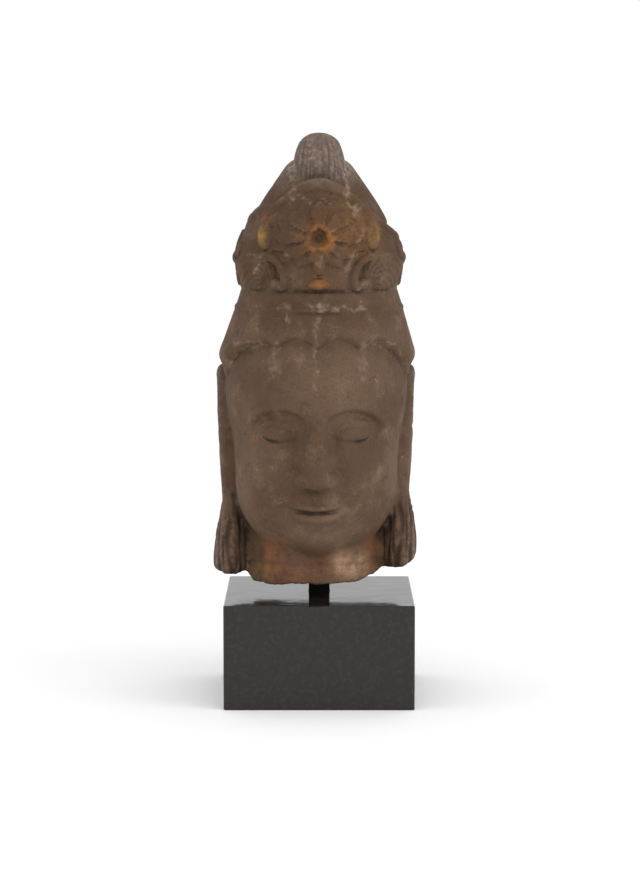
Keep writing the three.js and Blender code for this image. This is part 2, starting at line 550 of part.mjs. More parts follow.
// Slides a point along the surface towards the middle of its neighbours, then back onto the stone
function settled(point, middle) {
  const normal = slopeAt(point);
  const steepness = max(normal.length(), SPREAD.flattest);
  normal.normalize();
  const moved = new THREE.Vector3(...point);
  moved.add(middle.sub(moved).multiplyScalar(SPREAD.slide).projectOnPlane(normal));
  for (let i = 0; i < SPREAD.projections; i += 1) {
    const gap = clamp(brokenStone(moved.x, moved.y, moved.z), -SPREAD.furthest, SPREAD.furthest);
    moved.addScaledVector(normal, -SPREAD.pull * gap / steepness);
  }
  return moved.toArray();
}

function spread(points, faces) {
  const sums = points.map(() => new THREE.Vector3());
  const counts = new Uint32Array(points.length);
  faces.forEach((face) => face.forEach((corner, i) => {
    sums[corner].add(new THREE.Vector3(...points[face[(i + 1) % face.length]]));
    counts[corner] += 1;
  }));
  return points.map((point, i) => settled(point, sums[i].divideScalar(counts[i])));
}

// Sum of squared distances to a set of planes, kept as the ten different terms of a symmetric matrix
function planeTerms(a, b, c, d, weight) {
  return [a * a, a * b, a * c, a * d, b * b, b * c, b * d, c * c, c * d, d * d].map((term) => term * weight);
}

function planeError(q, [x, y, z]) {
  return q[0] * x * x + q[4] * y * y + q[7] * z * z + q[9]
    + 2 * (q[1] * x * y + q[2] * x * z + q[5] * y * z + q[3] * x + q[6] * y + q[8] * z);
}

// The point with the least error, or the better of an edge's ends and middle where there is no clear one
function bestPoint(q, a, b) {
  const fit = new THREE.Matrix3(q[0], q[1], q[2], q[1], q[4], q[5], q[2], q[5], q[7]);
  const middle = a.map((value, i) => (value + b[i]) / 2);
  const choices = [a, b, middle];
  if (abs(fit.determinant()) > 1e-3) {
    const least = new THREE.Vector3(-q[3], -q[6], -q[8]).applyMatrix3(fit.invert()).toArray();
    if (distance(least, middle) < 2 * distance(a, b)) {
      choices.push(least);
    }
  }
  return choices.reduce((kept, choice) => (planeError(q, choice) < planeError(q, kept) ? choice : kept));
}

// A queue that hands back its cheapest entry first
class CheapestFirst {
  constructor() {
    this.entries = [];
  }

  push(entry) {
    const heap = this.entries;
    let i = heap.push(entry) - 1;
    while (i > 0 && heap[(i - 1) >> 1].cost > entry.cost) {
      heap[i] = heap[(i - 1) >> 1];
      i = (i - 1) >> 1;
    }
    heap[i] = entry;
  }

  pop() {
    const heap = this.entries;
    const [first, last] = [heap[0], heap.pop()];
    let i = 0;
    while (2 * i + 1 < heap.length) {
      let child = 2 * i + 1;
      if (child + 1 < heap.length && heap[child + 1].cost < heap[child].cost) {
        child += 1;
      }
      if (heap[child].cost >= last.cost) {
        break;
      }
      heap[i] = heap[child];
      i = child;
    }
    if (heap.length > 0) {
      heap[i] = last;
    }
    return first;
  }
}

function crossOf(p, q, r) {
  const u = new THREE.Vector3(q[0] - p[0], q[1] - p[1], q[2] - p[2]);
  return u.cross(new THREE.Vector3(r[0] - p[0], r[1] - p[1], r[2] - p[2]));
}

// Thins a closed mesh to a number of faces by drawing edges in to points, cheapest first, so that flat
// stretches keep few faces and the carving keeps many
function thinned(points, faces, wanted) {
  const around = points.map(() => new Set());
  const planes = points.map(() => new Array(10).fill(0));
  const changes = new Uint32Array(points.length);
  const addPlanes = (corner, terms) => terms.forEach((term, i) => { planes[corner][i] += term; });
  faces.forEach((face, index) => {
    const normal = crossOf(...face.map((corner) => points[corner]));
    const area = normal.length() / 2;
    normal.normalize();
    const offset = -normal.dot(new THREE.Vector3(...points[face[0]]));
    const terms = planeTerms(normal.x, normal.y, normal.z, offset, area);
    face.forEach((corner) => {
      around[corner].add(index);
      addPlanes(corner, terms);
    });
  });
  const neighbours = (corner) => {
    const found = new Set([...around[corner]].flatMap((index) => faces[index]));
    found.delete(corner);
    return found;
  };
  const queue = new CheapestFirst();
  const offer = (a, b) => {
    const terms = planes[a].map((term, i) => term + planes[b][i]);
    const to = bestPoint(terms, points[a], points[b]);
    const cost = planeError(terms, to) + THIN.evenness * distance(points[a], points[b]) ** 2;
    queue.push({ a, b, to, cost, stamp: changes[a] + changes[b] });
  };
  const keepsShape = (corner, other, to) => [...around[corner]].every((index) => {
    const face = faces[index];
    if (face.includes(other)) {
      return true;
    }
    const before = crossOf(...face.map((at) => points[at]));
    const after = crossOf(...face.map((at) => (at === corner ? to : points[at])));
    return before.dot(after) > THIN.turn * before.length() * after.length() && after.length() > THIN.sliver;
  });
  points.forEach((unused, a) => neighbours(a).forEach((b) => a < b && offer(a, b)));
  let count = faces.length;
  while (count > wanted) {
    const { a, b, to, stamp } = queue.pop();
    const shared = [...around[a]].filter((index) => around[b].has(index));
    const fresh = stamp === changes[a] + changes[b] && shared.length === 2;
    const common = fresh ? [...neighbours(a)].filter((corner) => neighbours(b).has(corner)) : [];
    if (common.length !== 2 || !keepsShape(a, b, to) || !keepsShape(b, a, to)) {
      continue;
    }
    shared.forEach((index) => faces[index].forEach((corner) => around[corner].delete(index)));
    around[b].forEach((index) => {
      faces[index] = faces[index].map((corner) => (corner === b ? a : corner));
      around[a].add(index);
    });
    around[b].clear();
    addPlanes(a, planes[b]);
    points[a] = to;
    changes[a] += 1;
    changes[b] += 1;
    count -= 2;
    neighbours(a).forEach((corner) => offer(a, corner));
  }
  return [...new Set(around.flatMap((set) => [...set]))].map((index) => faces[index]);
}

function headGeometry() {
  const net = surfaceNet(sampledField());
  let { points } = net;
  for (let i = 0; i < SPREAD.rounds; i += 1) {
    points = spread(points, net.faces);
  }
  const halved = ([a, b, c, d]) => {
    const shortWay = distance(points[a], points[c]) < distance(points[b], points[d]);
    return shortWay ? [[a, b, c], [a, c, d]] : [[a, b, d], [b, c, d]];
  };
  const kept = thinned(points, net.faces.flatMap(halved), THIN.faces);
  const places = points.flatMap(([x, f, z]) => [x, -f, z]);
  const geometry = new THREE.BufferGeometry();
  geometry.setAttribute('position', new THREE.Float32BufferAttribute(places, 3));
  geometry.setIndex(kept.flat());
  return geometry;
}

// An upright block with a square plan and all its edges chamfered
function blockGeometry(side, height, chamfer) {
  const half = side / 2 - chamfer;
  const plan = new THREE.Shape();
  plan.moveTo(half, half - chamfer);
  for (let i = 0; i < 4; i += 1) {
    const [c, s] = [Math.round(cos(i * PI / 2)), Math.round(sin(i * PI / 2))];
    const corner = [[half, half - chamfer], [half - chamfer, half]];
    corner.forEach(([x, y]) => plan.lineTo(c * x - s * y, s * x + c * y));
  }
  const bevel = { bevelEnabled: true, bevelSegments: 1, bevelSize: chamfer, bevelThickness: chamfer };
  const block = new THREE.ExtrudeGeometry(plan, { depth: height - 2 * chamfer, steps: 1, ...bevel });
  return block.translate(0, 0, chamfer);
}

const wasm = await Module();
wasm.setup();

function solidOf(geometry) {
  const bare = geometry.clone();
  bare.deleteAttribute('normal');
  bare.deleteAttribute('uv');
  bare.clearGroups();
  const merged = mergeVertices(bare, 1e-4);
  const vertProperties = new Float32Array(merged.attributes.position.array);
  const triVerts = new Uint32Array(merged.index.array);
  return new wasm.Manifold(new wasm.Mesh({ numProp: 3, vertProperties, triVerts }));
}

// Cuts the rod's square socket, open from bottom to top of the given span
function withSocket(geometry, bottom, top) {
  const side = ROD.side + 2 * CLEARANCE;
  const socket = new THREE.BoxGeometry(side, side, top - bottom).translate(0, 0, (top + bottom) / 2);
  const cut = solidOf(geometry).subtract(solidOf(socket)).getMesh();
  const result = new THREE.BufferGeometry();
  result.setAttribute('position', new THREE.BufferAttribute(cut.vertProperties, 3));
  result.setIndex(new THREE.BufferAttribute(cut.triVerts, 1));
  return result;
}

function piece(name, geometry, color, roughness, metalness) {
  const material = new THREE.MeshStandardMaterial({ color, roughness, metalness, flatShading: true });
  const mesh = new THREE.Mesh(geometry, material);
  mesh.name = name;
  return mesh;
}

const rodFoot = PLINTH.height - ROD.inPlinth;
const rodTop = BREAK + ROD.inHead;
const headSolid = withSocket(headGeometry(), 0, rodTop + CLEARANCE);
const plinthBlock = blockGeometry(PLINTH.side, PLINTH.height, PLINTH.chamfer);
const plinthSolid = withSocket(plinthBlock, rodFoot - CLEARANCE, PLINTH.height + 1);
const rodSolid = blockGeometry(ROD.side, rodTop - rodFoot, ROD.chamfer).translate(0, 0, rodFoot);

const sculpture = new THREE.Group();
sculpture.add(
  piece('stone_head', headSolid, 0x655041, 0.85, 0),
  piece('mounting_rod', rodSolid, 0x14100d, 0.5, 0.6),
  piece('plinth', plinthSolid, 0x1d1b1a, 0.15, 0),
);

export default sculpture;
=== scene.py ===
"""A carved stone head with a flower crown, held by a square rod above a polished stone plinth."""

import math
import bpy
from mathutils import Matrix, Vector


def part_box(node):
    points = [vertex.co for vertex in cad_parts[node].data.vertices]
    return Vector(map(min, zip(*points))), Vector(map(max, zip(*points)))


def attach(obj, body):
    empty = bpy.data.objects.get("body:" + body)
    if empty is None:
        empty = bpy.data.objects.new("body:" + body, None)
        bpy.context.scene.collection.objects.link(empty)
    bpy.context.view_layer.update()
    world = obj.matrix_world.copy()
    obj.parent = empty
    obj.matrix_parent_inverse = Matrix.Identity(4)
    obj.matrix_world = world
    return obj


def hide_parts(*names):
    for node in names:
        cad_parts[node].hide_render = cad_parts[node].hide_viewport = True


bl_info = {
    "name": "Carved Stone Head",
    "version": (1, 0, 0),
    "blender": (4, 5, 0),
    "location": "3D View > Sidebar > Stone Head",
    "description": "Carves and weathers a stone head, finishes its rod and plinth and lights them",
    "category": "Add Mesh",
}

from math import inf, pi
from types import SimpleNamespace as Form

import bmesh
import bpy
import numpy as np
from bpy.props import FloatProperty, FloatVectorProperty, IntProperty, PointerProperty
from mathutils import Vector

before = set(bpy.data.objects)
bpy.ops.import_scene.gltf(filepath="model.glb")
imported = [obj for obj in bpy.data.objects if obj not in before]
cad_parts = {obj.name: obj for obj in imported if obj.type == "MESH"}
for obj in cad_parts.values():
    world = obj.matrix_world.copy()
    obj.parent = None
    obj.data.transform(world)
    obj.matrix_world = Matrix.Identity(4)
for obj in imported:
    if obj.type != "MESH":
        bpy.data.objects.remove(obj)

BODY = "root"
MM = 0.001

# The carving is worked out in millimetres: x to the right as seen from the front, f forward (f = -y), z up.
# It is a field of named forms, negative inside the stone and zero on its surface.
FACE_THIRD = 58
EYE_WIDTH = 29.5
HAIRLINE = 294
BROW = HAIRLINE - FACE_THIRD
NOSE_BASE = BROW - FACE_THIRD
CHIN = NOSE_BASE - FACE_THIRD
EYE_LINE = BROW - 0.24 * FACE_THIRD
MOUTH = NOSE_BASE - FACE_THIRD / 3
FACE_HALF = 2.5 * EYE_WIDTH
FACE_GIRTH = 74
FACE_TURN = (1.9, 1.2)
BREAK = 96
LEAN = Form(low=2.4, between=(330, 250))

SKULL = Form(at=(0, 0, BROW + 16), half=(FACE_HALF, 75, 92))
JAW = Form(at=(0, 12, NOSE_BASE - 4), half=(65, 63, 60), blend=24)
CHEEK = Form(round=40, up=NOSE_BASE + 12, wide=22, tall=24, lift=3.5)
MUZZLE = Form(round=0, up=NOSE_BASE - 18, wide=26, tall=19, lift=5)
CHIN_BALL = Form(round=0, up=CHIN + 12, wide=21, tall=13, lift=6.5)
CHIN_CREASE = Form(round=0, up=CHIN + 26, wide=17, tall=4.5, lift=-2.6)
BROW_LINE = Form(
    start=8, length=60, drop=6, arch=11.5, skew=0.8, fall=6, ridge=1.3, ridge_half=3.2, ridge_rise=1.5,
    socket=7.2, upper=(-1.5, 5), lower=(34, 9), inner=(6, 13), outer=(72, 46), corner=15, corner_wide=8,
    corner_depth=0.75,
)
EYE = Form(
    round=34.5, ahead=53.5, drop=2, ball=(18, 16.5, 15), margin=1, lid_drop=5, tilt=1.4,
    upper_lid=3.7, lower_lid=2.7, upper_arc=2.4, lower_arc=5.4, fold=1.6, fold_rise=10.5, fold_half=1.7,
    fold_gap=1, fold_ends=(0, 0.3), lid_edge=0.8, lid_blend=0.4, blend=3,
)
NOSE = Form(
    root=BROW - 1, tip=NOSE_BASE + 8, ahead=75.5, rise=19.5, half=3.6, widening=2.2, flare=0.46,
    top=BROW + 9, behind=55, span=(-0.4, 1), under_tilt=0.3, under_from=82, under_edge=3, blend=3.6,
    ridge_edge=2.6, top_edge=6, behind_edge=4, ball_blend=4, wing_blend=2.6, nostril_edge=1.2,
    ball=Form(at=(0, 86, NOSE_BASE + 7.5), half=(8.6, 10, 7.4)),
    wing=Form(at=(11.3, 77, NOSE_BASE + 6.5), half=(6.8, 11.5, 7)),
    nostril=Form(at=(6.2, 82, NOSE_BASE - 0.6), half=(3.4, 5.5, 2.6)),
)
LIPS = Form(
    ahead=76.4, curve=0.012, smile=0.0055, groove=1.8, groove_half=1.7, ends=(25.5, 19),
    bow=0.55, bow_half=4, blend=2.2,
    upper=Form(at=(0, 0, 3.3), half=(23.5, 6.4, 4.4)),
    lower=Form(at=(0, -0.6, -4.5), half=(19.5, 7.6, 5.2)),
    core=Form(at=(0, -3.4, -0.4), half=(21, 6.8, 5)),
    corner=25, corner_wide=3.6, corner_tall=4, corner_depth=2.4, philtrum=2, philtrum_half=3.2,
    philtrum_foot=(4, 9), philtrum_top=(2, -3), part_blend=0.8,
)

HAIR = Form(
    layer=3, lobe=2.6, lobes=((17, 19), (54, 22)), lobe_top=(30, 12), roll=9, under=4, blend=0.8,
    strand=0.35, strand_pitch=5, strand_slant=0.25, strand_foot=(2, 8), strand_top=(313, 306),
    worn=(14, 40), worn_share=0.45, front=(1.5, 1.25),
    cusp=36, valley=HAIRLINE - 5, scallop=8.5, temple=10, temple_run=62, temple_fall=27,
    temple_bend=0.8, temple_curve=2.2, behind_ear=(1.72, 1.9), behind_drop=250,
    fall_offset=24, fall_half=(71, 50), fall_top=285, fall_top_edge=30, fall_turn=(1.6, 1.75),
    fall_turn_up=(145, 168), fall_side=40, fall_side_edge=6, fall_blend=5, fall_groove=1.1,
    fall_pitch=8, fall_from=(1.8, 2),
    cap_half=(60, 62), cap_cone=0.33, cap_foot=283, cap_foot_edge=12, cap_top_edge=2, cap_blend=6,
    cap_side=8, cap_side_turn=(0.95, 1.25), cap_back_turn=(2.3, 1.8),
)
EAR = Form(
    shift=0.6, behind=16, slope=0.1, middle=205, out=81.5, lean=0.07, bow=0.1, thick=23, root_edge=1,
    flare=0.25, taper=0.8, edge=2.5, blend=1.2,
    cup=5.5, rim=4.5, cup_foot=194, cup_slope=0.8, cup_foot_edge=3, cup_floor_edge=2, cup_edge=2,
    shell=Form(half=(17.5, 36.5), up=229.5), drop=Form(half=(10.5, 25), up=172), drop_blend=9,
    fold=Form(half=(8.5, 20), up=222), fold_wall=1.8, fold_sink=2.2, fold_slope=0.7, fold_end=2.5,
    fold_end_edge=2, fold_top_edge=1.5, fold_side_edge=1, fold_blend=1.2,
    tragus=Form(at=(73, 12, 212), half=(5, 5, 9)), tragus_blend=3,
)
LOCK = Form(
    shift=1, out=69, ahead=4, half=(11.5, 20), bulge=2.6, bulge_at=110, bulge_half=20, top=168, top_blend=16,
    narrow_from=(128, 168), narrow=(5, 9), backward=9, groove=2.1, strand_top=(158, 140),
    right_up=14, right_from=(-1, 1), blend=6,
)
NECK = Form(
    offset=3, half=(48.5, 45), web=(64, 17), web_blend=5, top=160, top_edge=8,
    fold=1.4, fold_at=108, fold_half=2.2, fold_slope=0.05, blend=7,
)

# Strands of hair: their count in a full turn, their depth, and slow waves in their run and in their depth.
# A wave has a height, a count in a full turn, a length upward and a start.
FALL_STRANDS = Form(
    count=2 * pi * FACE_GIRTH / HAIR.fall_pitch, waves=((2.2, 5, 70, 0), (1.1, 13, -38, 0)),
    depth=0.6, depth_waves=((0.4, 9, 90, 0),),
)
LOCK_STRANDS = Form(count=25, waves=((1.3, 5, 14, 0),), depth=0.55, depth_waves=((0.3, 8, 12, 1.5),))
LOCK_TUFTS = Form(count=11, waves=((1.3, 2, -9, 0),), depth=0.75, depth_waves=((0.25, 0, 5, 0),))
BUN_STRANDS = Form(count=43, waves=((2.2, 7, inf, 1), (0.6, 0, 9, 0)), depth=1, depth_waves=())
CONE_STRANDS = Form(count=60, waves=((1.6, 9, inf, 0),), depth=1, depth_waves=())

CROWN = Form(
    offset=2, foot=331, foot_edge=2, waist=(62.5, 64.5), belly=(3.8, 3.8), belly_foot=329, belly_run=60,
    taper=(16, 14), taper_from=(356, 425), arch_top=421, arch_fall=0.0112, arch_half=60, arch_edge=6,
    back_drop=36, back_turn=(1.65, 2.2), left_rise=14, left_turn=(0.7, 1.25), left_end=(2.2, 1.7),
    rim=2.3, rim_half=5, rim_turn=(2.4, 2.1), girth=66, most_relief=7.6, relief_near=19,
    relief_top=(-8, -11), seam=3, groove=1.4, groove_up=332.5, groove_half=1.5,
)
BAND = Form(
    low=316, high=331, edge=1.5, half=(63, 65.5), cone=0.32, bead_up=1.6, bead=1.1, bead_blend=2.4,
    core=(60.5, 63), core_up=330, core_half=6, core_edge=1, core_blend=0.6,
)
ROSETTE = Form(
    up=374, ring=8.8, ring_half=2.8, ring_lift=6.6, floor=0.8, seed=2.4, seed_lift=1.6,
    sideways=1.05, upward=0.84, downward=0.62, waves=((0.55, 3, inf, 0.7), (0.385, 7, inf, 0)),
)
ROSETTE_PETALS = Form(count=8, start=6, end=36, half=12.5, lift=6.2, turn=pi / 2)
UNDER_PETALS = Form(count=8, start=10, end=40, half=10.5, lift=3.2, turn=pi * 0.625)
PETAL = Form(gap=0.6, bend=0.62, fullness=0.75, least=0.01, edge=0.74, floor=0.52, rib=0.1, rib_half=1.3)
SCROLL = Form(
    round=44, up=343, radius=20, rim=3.4, rim_lift=5.6, outward=(2.7, 1.7), inward=(-1.3, -0.7),
    clear=(1.02, 1.1),
)
LEAF = Form(
    round=59, up=347, half=(25, 17), lift=4.4, floor=0.66, edge=0.84, ribs=17, curl=0.05, stem=(4, 8),
)
VOLUTE = Form(round=34.5, up=337.5, half=(5.4, 5.6), lift=6.6)
VOLUTE_PIT = Form(round=42, up=338)
PENDANT = Form(round=0, up=353, half=(4.6, 8.4), lift=6.4)
PENDANT_FOOT = Form(round=0, up=338, half=(9, 5), lift=5.6)
OVAL_JEWEL = Form(round=50.5, up=377, half=(5.6, 10), lift=5.6)
JEWEL_PLATE = Form(round=50.5, up=378, half=(9.8, 14.5), lift=2.4, edge=0.86)
JEWEL_SLANT = 0.42
SIDE_FLOWER = Form(count=6, start=4, end=23, half=9.5, lift=3.2, turn=pi / 2)
SIDE_HEART = Form(turn=1.52, up=357, size=6, lift=4)
TOPKNOT = Form(
    offset=3, shoulder=386, shoulder_half=55, rise=48, most_share=1.2, narrowing=31, bend=1.15, depth=0.95,
    steepness=0.8, top=437, top_edge=8, foot=340, foot_edge=4, groove=0.4, blend=1,
)
BUN = Form(
    ahead=8, up=424, half=(21.4, 24.5, 38.6), top=458, top_blend=11, foot=396, foot_edge=3, groove=0.5,
    smooth_top=(457, 449), blend=1.2,
)

# The lower and the upper part of the stone overlap behind the headband
LOWER_TOP = CROWN.foot + 2
UPPER_FOOT = BAND.low - 16
UPPER_BLEND = 0.8

# The broken underside: how much higher it is under the locks and beside the neck, and how round its edge is
FRACTURE = Form(
    left_lock=8, left_lock_side=(52, 60), left=3, left_side=(8, 42),
    right_lock=5, right_lock_side=(44, 52), right=3.5, right_side=(22, 46), outer_slope=0.22, outer_from=54,
    front=(-45, -15), behind=0.14, waves=0.4, neck_edge=1.5, lock_edge=7, edge_side=(48, 60),
)

# The grid that the surface is found on: a cell's size, cells to a block, how near the surface a block is
# kept, the room round the stone, then how its points are evened out and drawn onto the surface
GRID = Form(cell=1.64, block=6, reach=14, margin=5.5, rounds=5, slide=0.5, pull=0.9, least_slope=0.6)
PROBE = 0.35
SOCKET_CLEARANCE = 0.3
ROD_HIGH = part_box("mounting_rod")[1]
ROD_HALF = ROD_HIGH[0] / MM
ROD_TOP = ROD_HIGH[2] / MM
FAR = 60.0

# Pale crust and veins on the front, with painted highlights on the pendant's bead and on the two volutes, as
# soft lines: from and to (x, z), half width and strength
CRUST_AND_HIGHLIGHT_LINES = (
    ((0, 357), (0, 353), 1.8, 1), ((-21, 406), (-14, 407), 1.3, 0.8), ((-14, 407), (-6, 403), 1.2, 0.9),
    ((-31, 403), (-27, 405), 1.3, 0.6), ((2, 406), (9, 402), 1, 0.6), ((23, 402), (31, 396), 1.3, 0.8),
    ((28, 393), (31, 390), 2, 0.7), ((30, 370), (37, 382), 1.4, 0.5),
    ((-27, 360), (-26, 358), 1.8, 0.8), ((0, 357), (0, 359), 1.4, 1), ((29, 363), (23, 353), 1.3, 0.8),
    ((23, 353), (22, 345), 1.4, 0.6), ((-57, 360), (-46, 360), 1.4, 0.4),
    ((-46, 359), (-50, 348), 1.4, 0.6), ((-36, 338), (-33, 336), 3, 0.5),
    ((33, 337), (39, 339), 3, 0.45), ((-53, 319), (-46, 322), 1.3, 0.7),
    ((-32, 320), (-24, 321), 1.2, 0.8), ((-25, 320), (-24, 309), 1.6, 0.6),
    ((-10, 321), (8, 321), 1.3, 0.9), ((2, 321), (-2, 306), 2.6, 0.55),
    ((-2, 306), (-3, 290), 1.8, 0.5), ((10, 320), (36, 318), 1.2, 0.85),
    ((-3.5, 290), (-2, 274), 0.9, 0.9), ((-2, 274), (-3.5, 255), 0.9, 0.8),
    ((-68, 291), (-49, 292), 2, 0.6), ((-60, 286), (-46, 290), 1.6, 0.6),
    ((-66, 281), (-72, 270), 1.3, 0.5), ((-34, 289), (-35, 285), 2.6, 0.7),
    ((-36, 284), (-34, 266), 3, 0.3), ((35, 291), (60, 289), 2.2, 0.65),
    ((60, 289), (65, 280), 1.6, 0.5), ((43, 296), (45, 293), 2.6, 0.5), ((34, 286), (35, 263), 3, 0.4),
    ((-22, 434), (-21, 411), 1.6, 0.8), ((21, 436), (22, 408), 2, 0.9),
    ((-7, 452), (-2, 432), 2.2, 0.6),
)

# Pigment and stain as soft ovals: middle (across, z), half width and height, and strength.
# On the neck they lie across the front, on the crown round its wall.
NECK_RUST = (
    ((-35, 120), (11, 20), 1), ((-18, 102), (14, 7), 0.9),
    ((4, 112), (16, 14), 0.45), ((44, 122), (6, 18), 1),
)
NECK_FRESH = (((32, 109), (9, 10), 1), ((19, 112), (6, 13), 0.8))
NECK_YELLOW = (((-43, 104), (9, 9), 0.6), ((51, 116), (6, 18), 0.5))
JEWEL_RUST = (((OVAL_JEWEL.round, 389), (6, 4), 0.6),)
JEWEL_YELLOW = (((OVAL_JEWEL.round, OVAL_JEWEL.up - 1), (5, 8.5), 1),)
PETAL_YELLOW = (((36, 388), (18, 22), 0.22),)
PETAL_SHADE = (((27, 372), (13, 13), 0.5),)
ROSETTE_SOIL = (((0, ROSETTE.up), (5.5, 5.5), 0.7),)
CROWN_OCHRE = (
    ((0, PENDANT_FOOT.up), (9, 5), 1), ((0, PENDANT.up - 6), (5, 5), 0.25),
    ((0, ROSETTE.up), (15, 15), 0.4), ((32, 378), (20, 24), 0.3),
)
RING_OCHRE = Form(out=0.5, half=3.6, kept=(4, -8), least=0.5, waves=((0.16, 4, inf, 1),))

# Where the wear, the painted shade and the painted highlights lie: heights and distances where they start
# and are full, and strengths
WEAR_AND_PAINTED_LIGHT = Form(
    front=(-8, 6), neck_top=(140, 128), crown_foot=(326, 332), crown_top=(425, 415), right_jewel=0.5,
    lock_top=(158, 144), lock_side=(50, 56), lock_patina=1.2, lock_crust=0.3,
    patina_foot=(298, 316), patina_top=(436, 420), scroll_up=337, scroll_half=20, scroll_loss=0.6,
    ash_foot=(408, 432), ear_side=(72, 84), ear_top=(320, 300), ear_ash=0.6,
    recess=2.5, hollow=9, break_half=2, socket_gap=2,
)
# How much the grooves between strands are darkened, as soil and painted shade, and where
STRAND_SOIL_AND_SHADE = Form(
    front=0.3, behind=0.7, bun=0.5, cone=0.4, near=(1.5, 0.5), bun_edge=(23, 26),
    lower_top=(320, 314), upper_foot=(380, 386),
)

# Sizes of the stone's mottling, in metres
MOTTLE = Form(broad=0.06, patches=0.017, blotches=0.009, specks=0.0042, grain=0.0012)


def ramp(low, high, value):
    """Smooth step from 0 at low to 1 at high."""
    t = np.clip((value - low) / (high - low), 0, 1)
    return t * t * (3 - 2 * t)


def length(*parts):
    return np.sqrt(sum(part * part for part in parts))


def bell(value):
    return np.exp(-value * value)


def dome(square):
    return np.sqrt(np.maximum(1 - square, 0))


def soft_min(a, b, blend):
    h = np.clip(0.5 + 0.5 * (b - a) / blend, 0, 1)
    return b + (a - b) * h - blend * h * (1 - h)


def soft_max(a, b, blend):
    return -soft_min(-a, -b, blend)


def grooves(phase):
    return (0.5 + 0.5 * np.cos(phase)) ** 2


def wander(around, z, waves):
    """Sum of slow waves."""
    return sum(high * np.sin(count * around + z / tall + start) for high, count, tall, start in waves)


def strands(around, z, form):
    """Grooves between strands, which wander and are deeper in places."""
    depth = form.depth + wander(around, z, form.depth_waves)
    return grooves(form.count * around + wander(around, z, form.waves)) * depth


def leaned(x, z):
    """A point's place across the head, which leans a little below the crown."""
    return x + LEAN.low * ramp(*LEAN.between, z)


def ellipsoid(x, f, z, form):
    a, b, c = form.half
    u, v, w = (x - form.at[0]) / a, (f - form.at[1]) / b, (z - form.at[2]) / c
    reach = length(u, v, w)
    return reach * (reach - 1) / np.maximum(length(u / a, v / b, w / c), 1e-6)


def oval_column(x, f, a, b):
    reach = length(x / a, f / b)
    return reach * (reach - 1) / np.maximum(length(x / a**2, f / b**2), 1e-6)


def knob(round_, z, form):
    """A half ball or oval that stands on the crown's wall."""
    across, up = (round_ - form.round) / form.half[0], (z - form.up) / form.half[1]
    return form.lift * dome(across**2 + up**2)


def bare_head(x, f, z):
    return soft_min(ellipsoid(x, f, z, SKULL), ellipsoid(x, f, z, JAW), JAW.blend)


def brow_relief(round_, z):
    t = np.clip((round_ - BROW_LINE.start) / BROW_LINE.length, 0, 1)
    arch = BROW_LINE.arch * np.sin(pi * t**BROW_LINE.skew) - BROW_LINE.fall * t
    below = BROW - BROW_LINE.drop + arch - z
    across = ramp(*BROW_LINE.inner, round_) * ramp(*BROW_LINE.outer, round_)
    corner = 1 + BROW_LINE.corner_depth * bell((round_ - BROW_LINE.corner) / BROW_LINE.corner_wide)
    socket = ramp(*BROW_LINE.upper, below) * ramp(*BROW_LINE.lower, below) * across * corner
    ridge = bell((below + BROW_LINE.ridge_rise) / BROW_LINE.ridge_half) * across
    return BROW_LINE.ridge * ridge - BROW_LINE.socket * socket


def face_relief(round_, z):
    lift = brow_relief(round_, z)
    for form in (CHEEK, MUZZLE, CHIN_BALL, CHIN_CREASE):
        lift = lift + form.lift * bell((round_ - form.round) / form.wide) * bell((z - form.up) / form.tall)
    return lift


def eye(side, f, z, round_):
    """A ball with a deep upper lid and a narrow lower one, nearly shut."""
    turn = EYE.round / FACE_GIRTH
    at = (EYE.ahead * math.sin(turn), EYE.ahead * math.cos(turn), EYE_LINE - EYE.drop)
    ball = ellipsoid(side, f, z, Form(at=at, half=EYE.ball))
    across = (round_ - EYE.round) / (EYE_WIDTH / 2 + EYE.margin)
    opened = np.clip(1 - across * across, 0, 1)
    corner = EYE_LINE - EYE.lid_drop + EYE.tilt * across
    upper_edge = corner - EYE.upper_arc * opened
    lower_edge = corner - EYE.lower_arc * opened
    crease = bell((z - upper_edge - EYE.fold_rise * np.sqrt(opened) - EYE.fold_gap) / EYE.fold_half)
    crease = EYE.fold * crease * ramp(*EYE.fold_ends, opened)
    upper = soft_max(ball - EYE.upper_lid, upper_edge - z, EYE.lid_edge) + crease
    lower = soft_max(ball - EYE.lower_lid, z - lower_edge, EYE.lid_edge)
    return soft_min(soft_min(ball, upper, EYE.lid_blend), lower, EYE.lid_blend)


def nose(side, f, z):
    down = np.clip((NOSE.root - z) / (NOSE.root - NOSE.tip), *NOSE.span)
    ridge = NOSE.ahead + NOSE.rise * down
    half = NOSE.half + NOSE.widening * np.clip(down, 0, 1)
    underside = NOSE_BASE + NOSE.under_tilt * np.maximum(f - NOSE.under_from, 0)
    wedge = soft_max(f - ridge, side - half - NOSE.flare * (ridge - f), NOSE.ridge_edge)
    wedge = soft_max(wedge, underside - z, NOSE.under_edge)
    wedge = soft_max(wedge, z - NOSE.top, NOSE.top_edge)
    wedge = soft_max(wedge, NOSE.behind - f, NOSE.behind_edge)
    wedge = soft_min(wedge, ellipsoid(side, f, z, NOSE.ball), NOSE.ball_blend)
    wedge = soft_min(wedge, ellipsoid(side, f, z, NOSE.wing), NOSE.wing_blend)
    return soft_max(wedge, -ellipsoid(side, f, z, NOSE.nostril), NOSE.nostril_edge)


